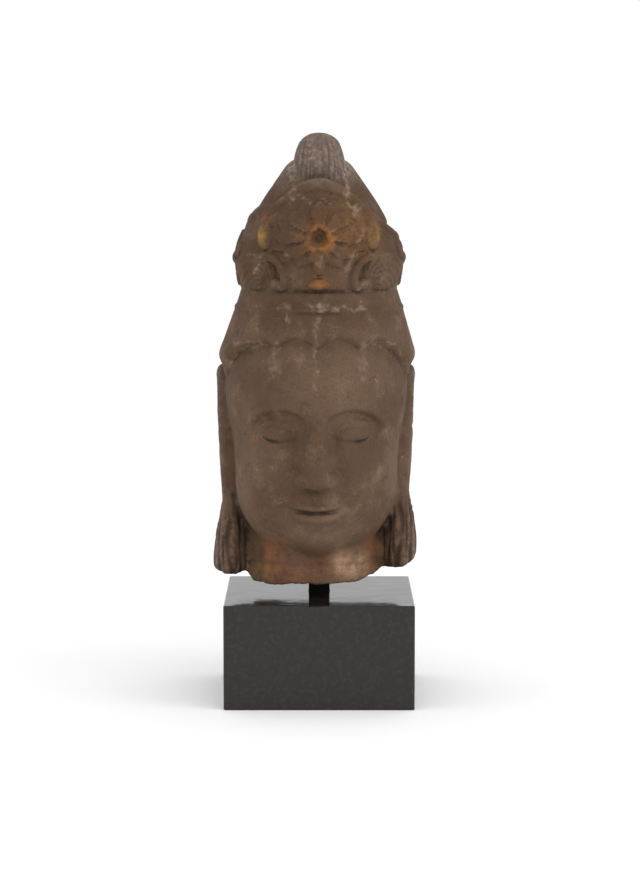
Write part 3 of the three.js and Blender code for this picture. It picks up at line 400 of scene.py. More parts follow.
def with_mouth(solid, side, f, z, front):
    above = z - MOUTH - LIPS.smile * side * side
    ahead = f - LIPS.ahead + LIPS.curve * side * side
    upper = ellipsoid(side, ahead, above + LIPS.bow * bell(side / LIPS.bow_half), LIPS.upper)
    lower = ellipsoid(side, ahead, above, LIPS.lower)
    philtrum = bell(side / LIPS.philtrum_half) * ramp(*LIPS.philtrum_foot, z - MOUTH)
    philtrum = philtrum * ramp(*LIPS.philtrum_top, z - NOSE_BASE)
    corner = bell((side - LIPS.corner) / LIPS.corner_wide) * bell(above / LIPS.corner_tall)
    groove = bell(above / LIPS.groove_half) * ramp(*LIPS.ends, side)
    core = ellipsoid(side, ahead, above, LIPS.core)
    body = soft_min(soft_min(upper, lower, LIPS.part_blend), core, LIPS.part_blend)
    lips = soft_min(solid + LIPS.philtrum * philtrum * front, body, LIPS.blend)
    return lips + (LIPS.groove * groove + LIPS.corner_depth * corner) * front


def face(x, f, z, bare):
    side = np.abs(x)
    turn = np.arctan2(side, f)
    round_ = FACE_GIRTH * turn
    front = ramp(*FACE_TURN, turn)
    solid = bare - face_relief(round_, z) * front
    solid = soft_min(solid, eye(side, f, z, round_), EYE.blend)
    solid = soft_min(solid, nose(side, f, z), NOSE.blend)
    return with_mouth(solid, side, f, z, front)


def hairline(turn):
    """Lower edge of the hair: two scallops a side over the forehead, then down behind the ear."""
    round_ = FACE_GIRTH * turn
    t = np.clip((round_ - HAIR.cusp) / HAIR.temple_run, 0, 1)
    inner = HAIR.scallop * np.sin(pi * np.clip(round_ / HAIR.cusp, 0, 1))
    outer = HAIR.temple * np.sin(pi * t**HAIR.temple_bend) * (1 - t)
    outer = outer - HAIR.temple_fall * t**HAIR.temple_curve
    edge = HAIR.valley + np.where(round_ < HAIR.cusp, inner, outer)
    return edge - HAIR.behind_drop * ramp(*HAIR.behind_ear, turn)


def hair_strands(round_, above, z):
    strand = grooves(2 * pi * (round_ + HAIR.strand_slant * above) / HAIR.strand_pitch)
    return strand * ramp(*HAIR.strand_foot, above) * ramp(*HAIR.strand_top, z)


def fall_strands(turn, z):
    return strands(turn, z, FALL_STRANDS) * ramp(*HAIR.fall_from, turn)


def lock_strands(across, ahead, z):
    around = np.arctan2(across, ahead)
    deeper = np.maximum(strands(around, z, LOCK_STRANDS), strands(around, z, LOCK_TUFTS))
    return deeper * ramp(*LOCK.strand_top, z)


def bun_strands(x, f, z):
    around = np.arctan2(x, f - BUN.ahead / 2)
    return strands(around, z, BUN_STRANDS) * ramp(*BUN.smooth_top, z)


def cone_strands(x, f):
    return strands(np.arctan2(x, f + TOPKNOT.offset), 0, CONE_STRANDS)


def hair(x, f, z, bare):
    """A rolled layer over the bare head, with lobes in front and long locks behind."""
    turn = np.arctan2(np.abs(x), f)
    round_ = FACE_GIRTH * turn
    above = z - hairline(turn)
    front = ramp(*HAIR.front, turn)
    lobes = [dome(((round_ - middle) / half) ** 2) for middle, half in HAIR.lobes]
    lobe = np.maximum(*lobes) * ramp(*HAIR.lobe_top, above)
    strand = hair_strands(round_, above, z)
    layer = HAIR.layer + (HAIR.lobe * lobe - HAIR.strand * strand) * front
    layer = layer * (HAIR.worn_share + (1 - HAIR.worn_share) * ramp(*HAIR.worn, round_))
    layer = layer * dome((1 - np.clip(above / HAIR.roll, 0, 1)) ** 2)
    layer = layer - HAIR.under * ramp(0, -HAIR.under, above)
    fall = oval_column(x, f + HAIR.fall_offset, *HAIR.fall_half)
    fall_turn = np.interp(z, HAIR.fall_turn_up, HAIR.fall_turn).astype(np.float32)
    fall = soft_max(fall, z - HAIR.fall_top, HAIR.fall_top_edge)
    fall = soft_max(fall, (fall_turn - turn) * HAIR.fall_side, HAIR.fall_side_edge)
    widen = HAIR.cap_cone * np.maximum(BAND.high - z, 0)
    cap = oval_column(x, f + CROWN.offset, HAIR.cap_half[0] + widen, HAIR.cap_half[1] + widen)
    beside = ramp(*HAIR.cap_side_turn, turn) * ramp(*HAIR.cap_back_turn, turn)
    cap_foot = HAIR.cap_foot - HAIR.cap_side * beside
    cap = soft_max(cap, cap_foot - z, HAIR.cap_foot_edge)
    cap = soft_max(cap, z - BAND.high, HAIR.cap_top_edge)
    mass = soft_min(soft_min(bare, cap, HAIR.cap_blend), fall, HAIR.fall_blend)
    return mass - layer + HAIR.fall_groove * fall_strands(turn, z)


def ear(x, f, z):
    side = np.abs(x)
    along = f + EAR.behind + EAR.slope * (z - EAR.middle)

    def oval(form):
        return (length(along / form.half[0], (z - form.up) / form.half[1]) - 1) * form.half[0]

    outline = soft_min(oval(EAR.shell), oval(EAR.drop), EAR.drop_blend)
    outer = side - EAR.out + EAR.lean * np.maximum(EAR.shell.up - z, 0) + EAR.bow * np.abs(along)
    plate = soft_max(outer, EAR.taper * outline + EAR.flare * outer, EAR.edge)
    cup = soft_max(outline + EAR.rim, (EAR.cup_foot - z) * EAR.cup_slope, EAR.cup_foot_edge)
    cup = soft_max(cup, -EAR.cup - outer, EAR.cup_floor_edge)
    fold = np.abs(oval(EAR.fold)) - EAR.fold_wall
    fold = soft_max(fold, -EAR.fold_slope * along - EAR.fold_end, EAR.fold_end_edge)
    fold = soft_max(fold, outer + EAR.fold_sink, EAR.fold_top_edge)
    fold = soft_max(fold, plate, EAR.fold_side_edge)
    carved = soft_min(soft_max(plate, -cup, EAR.cup_edge), fold, EAR.fold_blend)
    carved = soft_min(carved, ellipsoid(side, along, z, EAR.tragus), EAR.tragus_blend)
    return soft_max(carved, EAR.out - EAR.thick - side, EAR.root_edge)


def lock_height(x, z):
    """Height along a lock: the right one starts higher than the left."""
    return z - LOCK.right_up * ramp(*LOCK.right_from, x)


def lock_place(side, f, z):
    """A point's place in the lock, which narrows and steps back under the ear."""
    rise = ramp(*LOCK.narrow_from, z)
    return side - LOCK.out, f - LOCK.ahead + LOCK.backward * rise, rise


def shoulder_lock(side, f, z):
    """A hanging tress of hair with strands along it."""
    across, ahead, rise = lock_place(side, f, z)
    bulge = LOCK.bulge * bell((z - LOCK.bulge_at) / LOCK.bulge_half)
    wide, deep = (LOCK.half[i] + bulge - LOCK.narrow[i] * rise for i in range(2))
    tress = soft_max(oval_column(across, ahead, wide, deep), z - LOCK.top, LOCK.top_blend)
    return tress + LOCK.groove * lock_strands(across, ahead, z)


def neck(x, f, z):
    column = oval_column(x, f + NECK.offset, *NECK.half)
    column = soft_min(column, oval_column(x, f, *NECK.web), NECK.web_blend)
    column = soft_max(column, z - NECK.top, NECK.top_edge)
    return column + NECK.fold * bell((z - NECK.fold_at - NECK.fold_slope * f) / NECK.fold_half)


def petals(u, v, flower):
    """Heights from 0 to 1 of pointed petals round a centre, each dished, with a rib along its middle."""
    reach = length(u, v)
    bearing = np.arctan2(v, u)
    span = 2 * pi / flower.count
    off = np.mod(bearing - flower.turn + span / 2, span) - span / 2
    along = np.clip((reach * np.cos(off) - flower.start) / (flower.end - flower.start), 0, 1)
    half = flower.half * np.maximum(np.sin(pi * along**PETAL.bend), 0) ** PETAL.fullness
    half = np.maximum(np.minimum(half, reach * math.sin(span / 2) - PETAL.gap), PETAL.least)
    across = np.abs(reach * np.sin(off))
    share = across / half
    dished = PETAL.floor + (1 - PETAL.floor) * np.minimum(share, 1) ** 2
    return ramp(1, PETAL.edge, share) * (dished + PETAL.rib * bell(across / PETAL.rib_half))


def scroll_relief(round_, z):
    """A leaf curled round a volute, with a raised rim towards the flower and ribs that fan out sideways."""
    u, v = round_ - SCROLL.round, z - SCROLL.up
    bearing = np.arctan2(v, -u)
    bearing = np.where(bearing < -pi / 2, bearing + 2 * pi, bearing)
    arc = ramp(*SCROLL.outward, bearing) * ramp(*SCROLL.inward, bearing)
    rim = SCROLL.rim_lift * dome(((length(u, v) - SCROLL.radius + SCROLL.rim) / SCROLL.rim) ** 2) * arc
    u, v = round_ - VOLUTE_PIT.round, z - VOLUTE_PIT.up
    reach = length(u, v)
    rib = 1 - grooves(LEAF.ribs * (np.arctan2(v, u) + LEAF.curl * reach))
    share = length((round_ - LEAF.round) / LEAF.half[0], (z - LEAF.up) / LEAF.half[1])
    leaf = LEAF.lift * (LEAF.floor + (1 - LEAF.floor) * rib)
    leaf = leaf * ramp(1, LEAF.edge, share) * ramp(*LEAF.stem, reach)
    return np.maximum(np.maximum(rim, leaf), knob(round_, z, VOLUTE))


def rosette_relief(round_, z):
    up = z - ROSETTE.up
    reach = length(round_, up)
    clear = ramp(*SCROLL.clear, length(round_ - SCROLL.round, z - SCROLL.up) / SCROLL.radius)
    wide, tall = round_ / ROSETTE.sideways, up / np.where(up > 0, ROSETTE.upward, ROSETTE.downward)
    upper = ROSETTE_PETALS.lift * petals(wide, tall, ROSETTE_PETALS)
    under = UNDER_PETALS.lift * petals(wide, tall, UNDER_PETALS)
    seed = ROSETTE.floor + ROSETTE.seed_lift * dome((reach / ROSETTE.seed) ** 2)
    flower = np.where(reach < ROSETTE.ring, seed, np.maximum(upper, under) * clear)
    ring_reach = reach + wander(np.arctan2(up, round_), 0, ROSETTE.waves)
    ring = ROSETTE.ring_lift * dome(((ring_reach - ROSETTE.ring) / ROSETTE.ring_half) ** 2)
    return np.maximum(flower, ring)


def crown_relief(turn, z):
    round_ = CROWN.girth * turn
    lift = np.maximum(rosette_relief(round_, z), scroll_relief(round_, z))
    for form in (PENDANT, PENDANT_FOOT):
        lift = np.maximum(lift, knob(round_, z, form))
    upright = round_ - JEWEL_SLANT * (z - OVAL_JEWEL.up)
    lift = np.maximum(lift, knob(upright, z, OVAL_JEWEL))
    plate_half, plate_rise = JEWEL_PLATE.half
    plate = length((upright - JEWEL_PLATE.round) / plate_half, (z - JEWEL_PLATE.up) / plate_rise)
    lift = np.maximum(lift, JEWEL_PLATE.lift * ramp(1, JEWEL_PLATE.edge, plate))
    beside, up = round_ - CROWN.girth * SIDE_HEART.turn, z - SIDE_HEART.up
    lift = np.maximum(lift, SIDE_HEART.lift * dome((beside**2 + up**2) / SIDE_HEART.size**2))
    return np.maximum(lift, SIDE_FLOWER.lift * petals(beside, up, SIDE_FLOWER))


def headband(x, f, z):
    widen = BAND.cone * (BAND.high - z)
    wall = oval_column(x, f, BAND.half[0] + widen, BAND.half[1] + widen)
    band = soft_max(soft_max(wall, z - BAND.high, BAND.edge), BAND.low - z, BAND.edge)
    band = soft_min(band, length(wall, z - BAND.low - BAND.bead_up) - BAND.bead, BAND.bead_blend)
    core = oval_column(x, f, *BAND.core)
    core = soft_max(core, np.abs(z - BAND.core_up) - BAND.core_half, BAND.core_edge)
    return soft_min(band, core, BAND.core_blend)


def crown(x, f, z):
    ahead = f + CROWN.offset
    turn = np.arctan2(np.abs(x), ahead)
    belly = np.sin(pi * np.clip((z - CROWN.belly_foot) / CROWN.belly_run, 0, 1))
    taper = ramp(*CROWN.taper_from, z)
    half = [CROWN.waist[i] + CROWN.belly[i] * belly - CROWN.taper[i] * taper for i in range(2)]
    reach = CROWN.arch_half * np.sin(np.minimum(turn, pi / 2))
    edge = CROWN.arch_top - CROWN.arch_fall * reach**2 - CROWN.back_drop * ramp(*CROWN.back_turn, turn)
    left_rise = CROWN.left_rise * ramp(*CROWN.left_turn, turn) * ramp(*CROWN.left_end, turn)
    edge = edge + np.where(x < 0, left_rise, 0).astype(np.float32)
    rim = CROWN.rim * dome(((edge - CROWN.rim_half - z) / CROWN.rim_half) ** 2)
    rim = rim * ramp(*CROWN.rim_turn, turn)
    wall = oval_column(x, ahead, *half)
    relief = np.full_like(wall, CROWN.most_relief)
    near = np.abs(wall) < CROWN.relief_near
    relief[near] = crown_relief(turn[near], z[near]) * ramp(*CROWN.relief_top, (z - edge)[near])
    wall = wall - np.maximum(relief, rim)
    wall = soft_max(soft_max(wall, z - edge, CROWN.arch_edge), CROWN.foot - z, CROWN.foot_edge)
    groove = CROWN.groove * bell((z - CROWN.groove_up) / CROWN.groove_half)
    return soft_min(wall, headband(x, ahead, z), CROWN.seam) + groove


def topknot(x, f, z):
    behind = f + TOPKNOT.offset
    share = np.clip((z - TOPKNOT.shoulder) / TOPKNOT.rise, 0, TOPKNOT.most_share)
    radius = TOPKNOT.shoulder_half - TOPKNOT.narrowing * share**TOPKNOT.bend
    mass = oval_column(x, behind, radius, radius * TOPKNOT.depth) * TOPKNOT.steepness
    mass = soft_max(mass, z - TOPKNOT.top, TOPKNOT.top_edge)
    mass = soft_max(mass, TOPKNOT.foot - z, TOPKNOT.foot_edge)
    mass = mass + TOPKNOT.groove * cone_strands(x, f)
    bun = ellipsoid(x, f, np.maximum(z - BUN.up, 0), Form(at=(0, BUN.ahead, 0), half=BUN.half))
    bun = bun + BUN.groove * bun_strands(x, f, z)
    bun = soft_max(soft_max(bun, z - BUN.top, BUN.top_blend), BUN.foot - z, BUN.foot_edge)
    return soft_min(mass, bun, BUN.blend)


def lower_stone(x, f, z):
    bare = bare_head(x, f, z)
    solid = soft_min(face(x, f, z, bare), neck(x, f, z), NECK.blend)
    solid = soft_min(solid, hair(x, f, z, bare), HAIR.blend)
    lock = shoulder_lock(np.abs(x + LOCK.shift), f, lock_height(x, z))
    solid = soft_min(solid, lock, LOCK.blend)
    return soft_min(solid, ear(x + EAR.shift, f, z), EAR.blend)


def upper_stone(x, f, z):
    return soft_min(crown(x, f, z), topknot(x, f, z), TOPKNOT.blend)


def stone(x, f, z):
    """Distance to the surface of the stone, negative inside it."""
    solid = np.full_like(x, FAR)
    x = leaned(x, z)
    low = z < LOWER_TOP
    solid[low] = lower_stone(x[low], f[low], z[low])
    high = z > UPPER_FOOT
    solid[high] = soft_min(solid[high], upper_stone(x[high], f[high], z[high]), UPPER_BLEND)
    return solid


def ripples(x, f):
    """Uneven waves of a broken face, a few millimetres long and about one high."""
    waves = np.sin(x / 6.7 + 1.9 * np.sin(f / 9.1)) + 0.6 * np.sin(x / 2.9 + f / 3.7 + np.sin(x / 7.3))
    return waves + 0.7 * np.sin(f / 4.4 + 1.3 * np.sin(x / 11))


def break_height(x, f):
    """Height of the broken underside: lowest under the neck, higher under the locks, most on the right."""
    left = FRACTURE.left_lock * ramp(*FRACTURE.left_lock_side, -x)
    left = left - FRACTURE.left * ramp(*FRACTURE.left_side, -x)
    right = FRACTURE.right_lock * ramp(*FRACTURE.right_lock_side, x)
    right = right + FRACTURE.right * ramp(*FRACTURE.right_side, x)
    outer = FRACTURE.outer_slope * np.maximum(x - FRACTURE.outer_from, 0)
    step = (left + right + outer) * ramp(*FRACTURE.front, f) + FRACTURE.behind * np.maximum(-f, 0)
    return BREAK + step + FRACTURE.waves * ripples(x, f)


def head_field(x, f, z):
    """The stone, ended at the break below and hollowed for the rod."""
    rounded = ramp(*FRACTURE.edge_side, np.abs(x))
    edge = FRACTURE.neck_edge + (FRACTURE.lock_edge - FRACTURE.neck_edge) * rounded
    solid = soft_max(stone(x, f, z), break_height(x, f) - z, edge)
    across = np.maximum(np.abs(x), np.abs(f)) - ROD_HALF - SOCKET_CLEARANCE
    return np.maximum(solid, -np.maximum(across, z - ROD_TOP - SOCKET_CLEARANCE))


def grid_points(first, counts, pace):
    axes = [start + pace * np.arange(count) for start, count in zip(first, counts)]
    return [part.astype(np.float32) for part in np.meshgrid(*axes, indexing="ij")]


def sampled_field():
    """The field at the corners of a fine grid, worked out only in the blocks that the surface may cross."""
    low, high = (np.array(corner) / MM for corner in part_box("stone_head"))
    first = np.array([low[0], -high[1], low[2]]) - GRID.margin
    last = np.array([high[0], -low[1], high[2]]) + GRID.margin
    pace = GRID.cell * GRID.block
    blocks = np.ceil((last - first) / pace).astype(int)
    values = head_field(*grid_points(first + (pace - GRID.cell) / 2, blocks, pace))
    near = np.abs(values) < GRID.reach
    for axis in range(3):
        values = np.repeat(values, GRID.block, axis=axis)
        near = np.repeat(near, GRID.block, axis=axis)
    fine = grid_points(first, blocks * GRID.block, GRID.cell)
    values[near] = head_field(*(part[near] for part in fine))
    for axis in range(3):
        values = values / 2 + (np.roll(values, 1, axis=axis) + np.roll(values, -1, axis=axis)) / 4
    return first, values


def surface_net(values):
    """Points and four-sided faces where the values change sign, in steps of the grid."""
    steps = np.eye(3, dtype=int)
    corners, places = [], []
    for axis, step in enumerate(steps):
        edge = np.argwhere(np.diff(values < 0, axis=axis))
        start, end = values[tuple(edge.T)], values[tuple((edge + step).T)]
        left, right = steps[(axis + 1) % 3], steps[(axis + 2) % 3]
        cells = np.stack([edge, edge - right, edge - left - right, edge - left], axis=1)
        keys = np.ravel_multi_index(tuple(np.moveaxis(cells, -1, 0)), values.shape)
        corners.append(np.where((start < 0)[:, None], keys, keys[:, ::-1]))
        crossing = edge + (start / (start - end))[:, None] * step
        places.append(np.repeat(crossing, 4, axis=0))
    corners = np.concatenate(corners)
    places = np.concatenate(places)
    faces = np.unique(corners, return_inverse=True)[1].reshape(corners.shape)
    flat = faces.ravel()
    points = np.stack([np.bincount(flat, weights=part) for part in places.T]) / np.bincount(flat)
    return points, faces


def slope(points):
    """Gradient of the field, from six samples round each point."""
    steps = np.eye(3, dtype=np.float32)[:, :, None] * PROBE
    sides = [head_field(*(points + step)) - head_field(*(points - step)) for step in steps]
    return np.stack(sides) / (2 * PROBE)


def settle(points, faces):
    """Evens out the spacing of the points along the surface and brings them back onto it."""
    start, end = faces.ravel(), np.roll(faces, -1, axis=1).ravel()
    middle = np.stack([np.bincount(start, weights=part[end]) for part in points]) / np.bincount(start)
    normal = slope(points)
    steepness = np.maximum(length(*normal), 1e-6)
    normal = normal / steepness
    slide = GRID.slide * (middle - points)
    moved = points + slide - normal * (slide * normal).sum(axis=0)
    for _ in range(2):
        gap = np.clip(head_field(*moved), -1, 1)
        moved = moved - normal * (GRID.pull * gap / np.maximum(steepness, GRID.least_slope))
    return moved.astype(np.float32)


def carved_surface():
    """Points, as an array of x, f and z, and faces of the whole stone."""
    first, values = sampled_field()
    points, faces = surface_net(values)
    points = (first[:, None] + GRID.cell * points).astype(np.float32)
    for _ in range(GRID.rounds):
        points = settle(points, faces)
    return points, faces


def mesh_of(name, points, faces):
    mesh = bpy.data.meshes.new(name)
    world = np.stack([points[0], -points[1], points[2]], axis=-1) * MM
    mesh.from_pydata(world.tolist(), [], faces.tolist())
    mesh.update()
    return mesh


def soft_ovals(across, z, ovals):
    """Sum of soft oval patches, each with a middle, half sizes and a strength."""
    patches = np.zeros_like(z)
    for middle, half, strength in ovals:
        reach = length((across - middle[0]) / half[0], (z - middle[1]) / half[1])
        patches = patches + strength * bell(reach)
    return patches


def soft_line(x, z, start, end, half):
    run, rise = end[0] - start[0], end[1] - start[1]
    share = np.clip(((x - start[0]) * run + (z - start[1]) * rise) / (run * run + rise * rise), 0, 1)
    return bell(length(x - start[0] - share * run, z - start[1] - share * rise) / half)


def strand_marks(x, f, z):
    """How deep a point lies in the groove between two strands of hair."""
    turn = np.arctan2(np.abs(x), f)
    in_front = hair_strands(FACE_GIRTH * turn, z - hairline(turn), z) * ramp(*HAIR.front, turn)
    loose = np.maximum(STRAND_SOIL_AND_SHADE.front * in_front, STRAND_SOIL_AND_SHADE.behind * fall_strands(turn, z))
    side, along = np.abs(x + LOCK.shift), lock_height(x, z)
    on_lock = ramp(*STRAND_SOIL_AND_SHADE.near, shoulder_lock(side, f, along))
    tress = lock_strands(*lock_place(side, f, along)[:2], along) * on_lock
    lower = np.maximum(loose * (1 - on_lock), tress) * ramp(*STRAND_SOIL_AND_SHADE.lower_top, z)
    beside_bun = ramp(*STRAND_SOIL_AND_SHADE.bun_edge, length(x, f - BUN.ahead))
    upper = STRAND_SOIL_AND_SHADE.bun * bun_strands(x, f, z) * (1 - beside_bun)
    upper = upper + STRAND_SOIL_AND_SHADE.cone * cone_strands(x, f) * beside_bun
    on_topknot = ramp(*STRAND_SOIL_AND_SHADE.near, topknot(x, f, z)) * ramp(*STRAND_SOIL_AND_SHADE.upper_foot, z)
    return np.maximum(lower, upper * on_topknot)


def crust_and_highlight_marks(x, z):
    """Pale lines with ragged edges: crust, veins and painted highlights."""
    waver = 1.1 * np.sin(x / 2.3 + z / 3.1) + 0.7 * np.sin(x / 1.1 - z / 1.7)
    crust_and_highlight = np.zeros_like(x)
    for start, end, half, strength in CRUST_AND_HIGHLIGHT_LINES:
        crust_and_highlight = np.maximum(crust_and_highlight, strength * soft_line(x + waver, z + waver, start, end, half))
    return crust_and_highlight


def ochre_marks(round_, z):
    """Where orange pigment is left: the flower's ring, most on its lower half, and the foot below it."""
    up = z - ROSETTE.up
    kept = RING_OCHRE.least + (1 - RING_OCHRE.least) * ramp(*RING_OCHRE.kept, up)
    kept = kept + wander(np.arctan2(up, round_), 0, RING_OCHRE.waves)
    ring = bell((length(round_, up) - ROSETTE.ring - RING_OCHRE.out) / RING_OCHRE.half) * kept
    return np.clip(ring + soft_ovals(round_, z, CROWN_OCHRE), 0, 1)


def surface_marks(x, f, z, normal):
    """What the weathered stone, with its painted shade and highlights, needs to know of each point, mostly
    from 0 to 1.
    """
    def outside(probe):
        return head_field(x + normal[0] * probe, f + normal[1] * probe, z + normal[2] * probe) / probe

    across = leaned(x, z)
    side = np.abs(across)
    round_ = CROWN.girth * np.arctan2(across, f + CROWN.offset)
    upright = np.abs(round_) - JEWEL_SLANT * (z - OVAL_JEWEL.up)
    in_front = ramp(*WEAR_AND_PAINTED_LIGHT.front, f)
    on_crown = ramp(*WEAR_AND_PAINTED_LIGHT.crown_foot, z) * ramp(*WEAR_AND_PAINTED_LIGHT.crown_top, z)
    on_lock = ramp(*WEAR_AND_PAINTED_LIGHT.lock_top, z) * ramp(*WEAR_AND_PAINTED_LIGHT.lock_side, side)
    rust = soft_ovals(across, z, NECK_RUST) * ramp(*WEAR_AND_PAINTED_LIGHT.neck_top, z)
    rust = rust + soft_ovals(upright, z, JEWEL_RUST) * (x < 0)
    jewel = soft_ovals(upright, z, JEWEL_YELLOW) * np.where(x < 0, 1, WEAR_AND_PAINTED_LIGHT.right_jewel)
    yellow = (jewel + soft_ovals(round_, z, PETAL_YELLOW)) * on_crown
    patina = ramp(*WEAR_AND_PAINTED_LIGHT.patina_foot, z) * ramp(*WEAR_AND_PAINTED_LIGHT.patina_top, z)
    patina = patina * (1 - WEAR_AND_PAINTED_LIGHT.scroll_loss * bell((z - WEAR_AND_PAINTED_LIGHT.scroll_up) / WEAR_AND_PAINTED_LIGHT.scroll_half))
    on_ear = ramp(*WEAR_AND_PAINTED_LIGHT.ear_side, side) * ramp(*WEAR_AND_PAINTED_LIGHT.ear_top, z)
    beside_socket = np.maximum(np.abs(x), np.abs(f)) > ROD_HALF + WEAR_AND_PAINTED_LIGHT.socket_gap
    flower_soil = soft_ovals(round_, z, ROSETTE_SOIL) * in_front
    return {
        # Painted shade and highlights, partly soil and wear: how deep a point lies in a cut, in a broad
        # hollow or between strands, and how far out it is on a crest
        "recess": 1 - np.clip(outside(WEAR_AND_PAINTED_LIGHT.recess), 0, 1),
        "hollow": 1 - np.clip(outside(WEAR_AND_PAINTED_LIGHT.hollow), 0, 1),
        "crest": 1 - np.clip(outside(-WEAR_AND_PAINTED_LIGHT.recess), 0, 1),
        "strand": np.maximum(strand_marks(across, f, z), flower_soil),
        "ochre": ochre_marks(round_, z) * on_crown,
        "yellow": yellow + soft_ovals(across, z, NECK_YELLOW) * in_front,
        # Pale crust lines, with painted highlights on the pendant's bead and the volutes
        "crust_and_highlight": np.maximum(crust_and_highlight_marks(x, z), WEAR_AND_PAINTED_LIGHT.lock_crust * on_lock) * in_front,
        "patina": patina + WEAR_AND_PAINTED_LIGHT.lock_patina * on_lock + soft_ovals(round_, z, PETAL_SHADE) * in_front,
        "ash": np.maximum(ramp(*WEAR_AND_PAINTED_LIGHT.ash_foot, z), WEAR_AND_PAINTED_LIGHT.ear_ash * on_ear),
        "rust": np.clip(rust, 0, 1) * in_front,
        "fresh": np.clip(soft_ovals(across, z, NECK_FRESH), 0, 1) * in_front,
        "fracture": bell((z - break_height(x, f)) / WEAR_AND_PAINTED_LIGHT.break_half) * beside_socket,
    }


class Wire:
    """A socket of a node tree. Arithmetic on wires adds Math nodes."""

    def __init__(self, tree, socket=None):
        self.tree = tree
        self.socket = socket

    def node(self, kind, settings=None, sockets=None, output=0):
        """Adds a node, with its settings first and then the values or links of its sockets."""
        made = self.tree.nodes.new(kind)
        for name, value in (settings or {}).items():
            setattr(made, name, value)
        for key, value in (sockets or {}).items():
            if isinstance(value, Wire):
                self.tree.links.new(value.socket, made.inputs[key])
            else:
                made.inputs[key].default_value = value
        return Wire(self.tree, made.outputs[output] if len(made.outputs) else None)

    def math(self, operation, first, second=0.0):
        return self.node("ShaderNodeMath", {"operation": operation}, {0: first, 1: second})

    def __add__(self, other):
        return self.math("ADD", self, other)

    def __sub__(self, other):
        return self.math("SUBTRACT", self, other)

    def __rsub__(self, other):
        return self.math("SUBTRACT", other, self)

    def __mul__(self, other):
        return self.math("MULTIPLY", self, other)

    __radd__ = __add__
    __rmul__ = __mul__

    def between(self, low, high):
        """Smooth step of this value from 0 at low to 1 at high."""
        ends = {"Value": self, "From Min": low, "From Max": high}
        return self.node("ShaderNodeMapRange", {"interpolation_type": "SMOOTHSTEP"}, ends)


def mottle(place, size, detail=4.0, roughness=0.55, seed=0.0):
    """Noise from 0 to 1 whose largest patches are about the given size."""
    sockets = {"Vector": place, "W": seed, "Scale": 1 / size, "Detail": detail, "Roughness": roughness}
    return place.node("ShaderNodeTexNoise", {"noise_dimensions": "4D"}, sockets)


def cells(place, size):
    """Distance to the nearest of scattered points about the given size apart."""
    sockets = {"Vector": place, "Scale": 1 / size}
    return place.node("ShaderNodeTexVoronoi", sockets=sockets, output="Distance")


def tint(share, first, second):
    """Mixes two colours, given as wires or as red, green and blue."""
    colours = [value if isinstance(value, Wire) else (*value, 1) for value in (first, second)]
    return share.node("ShaderNodeMix", {"data_type": "RGBA"}, {0: share, 6: colours[0], 7: colours[1]}, 2)


def new_material(name):
    material = bpy.data.materials.new(name)
    material.use_nodes = True
    material.node_tree.nodes.clear()
    wire = Wire(material.node_tree)
    return material, wire, wire.node("ShaderNodeTexCoord", output="Object")


def surface(wire, sockets):
    """Adds the shader and the material's output."""
    shader = wire.node("ShaderNodeBsdfPrincipled", sockets=sockets)
    wire.node("ShaderNodeOutputMaterial", sockets={"Surface": shader})


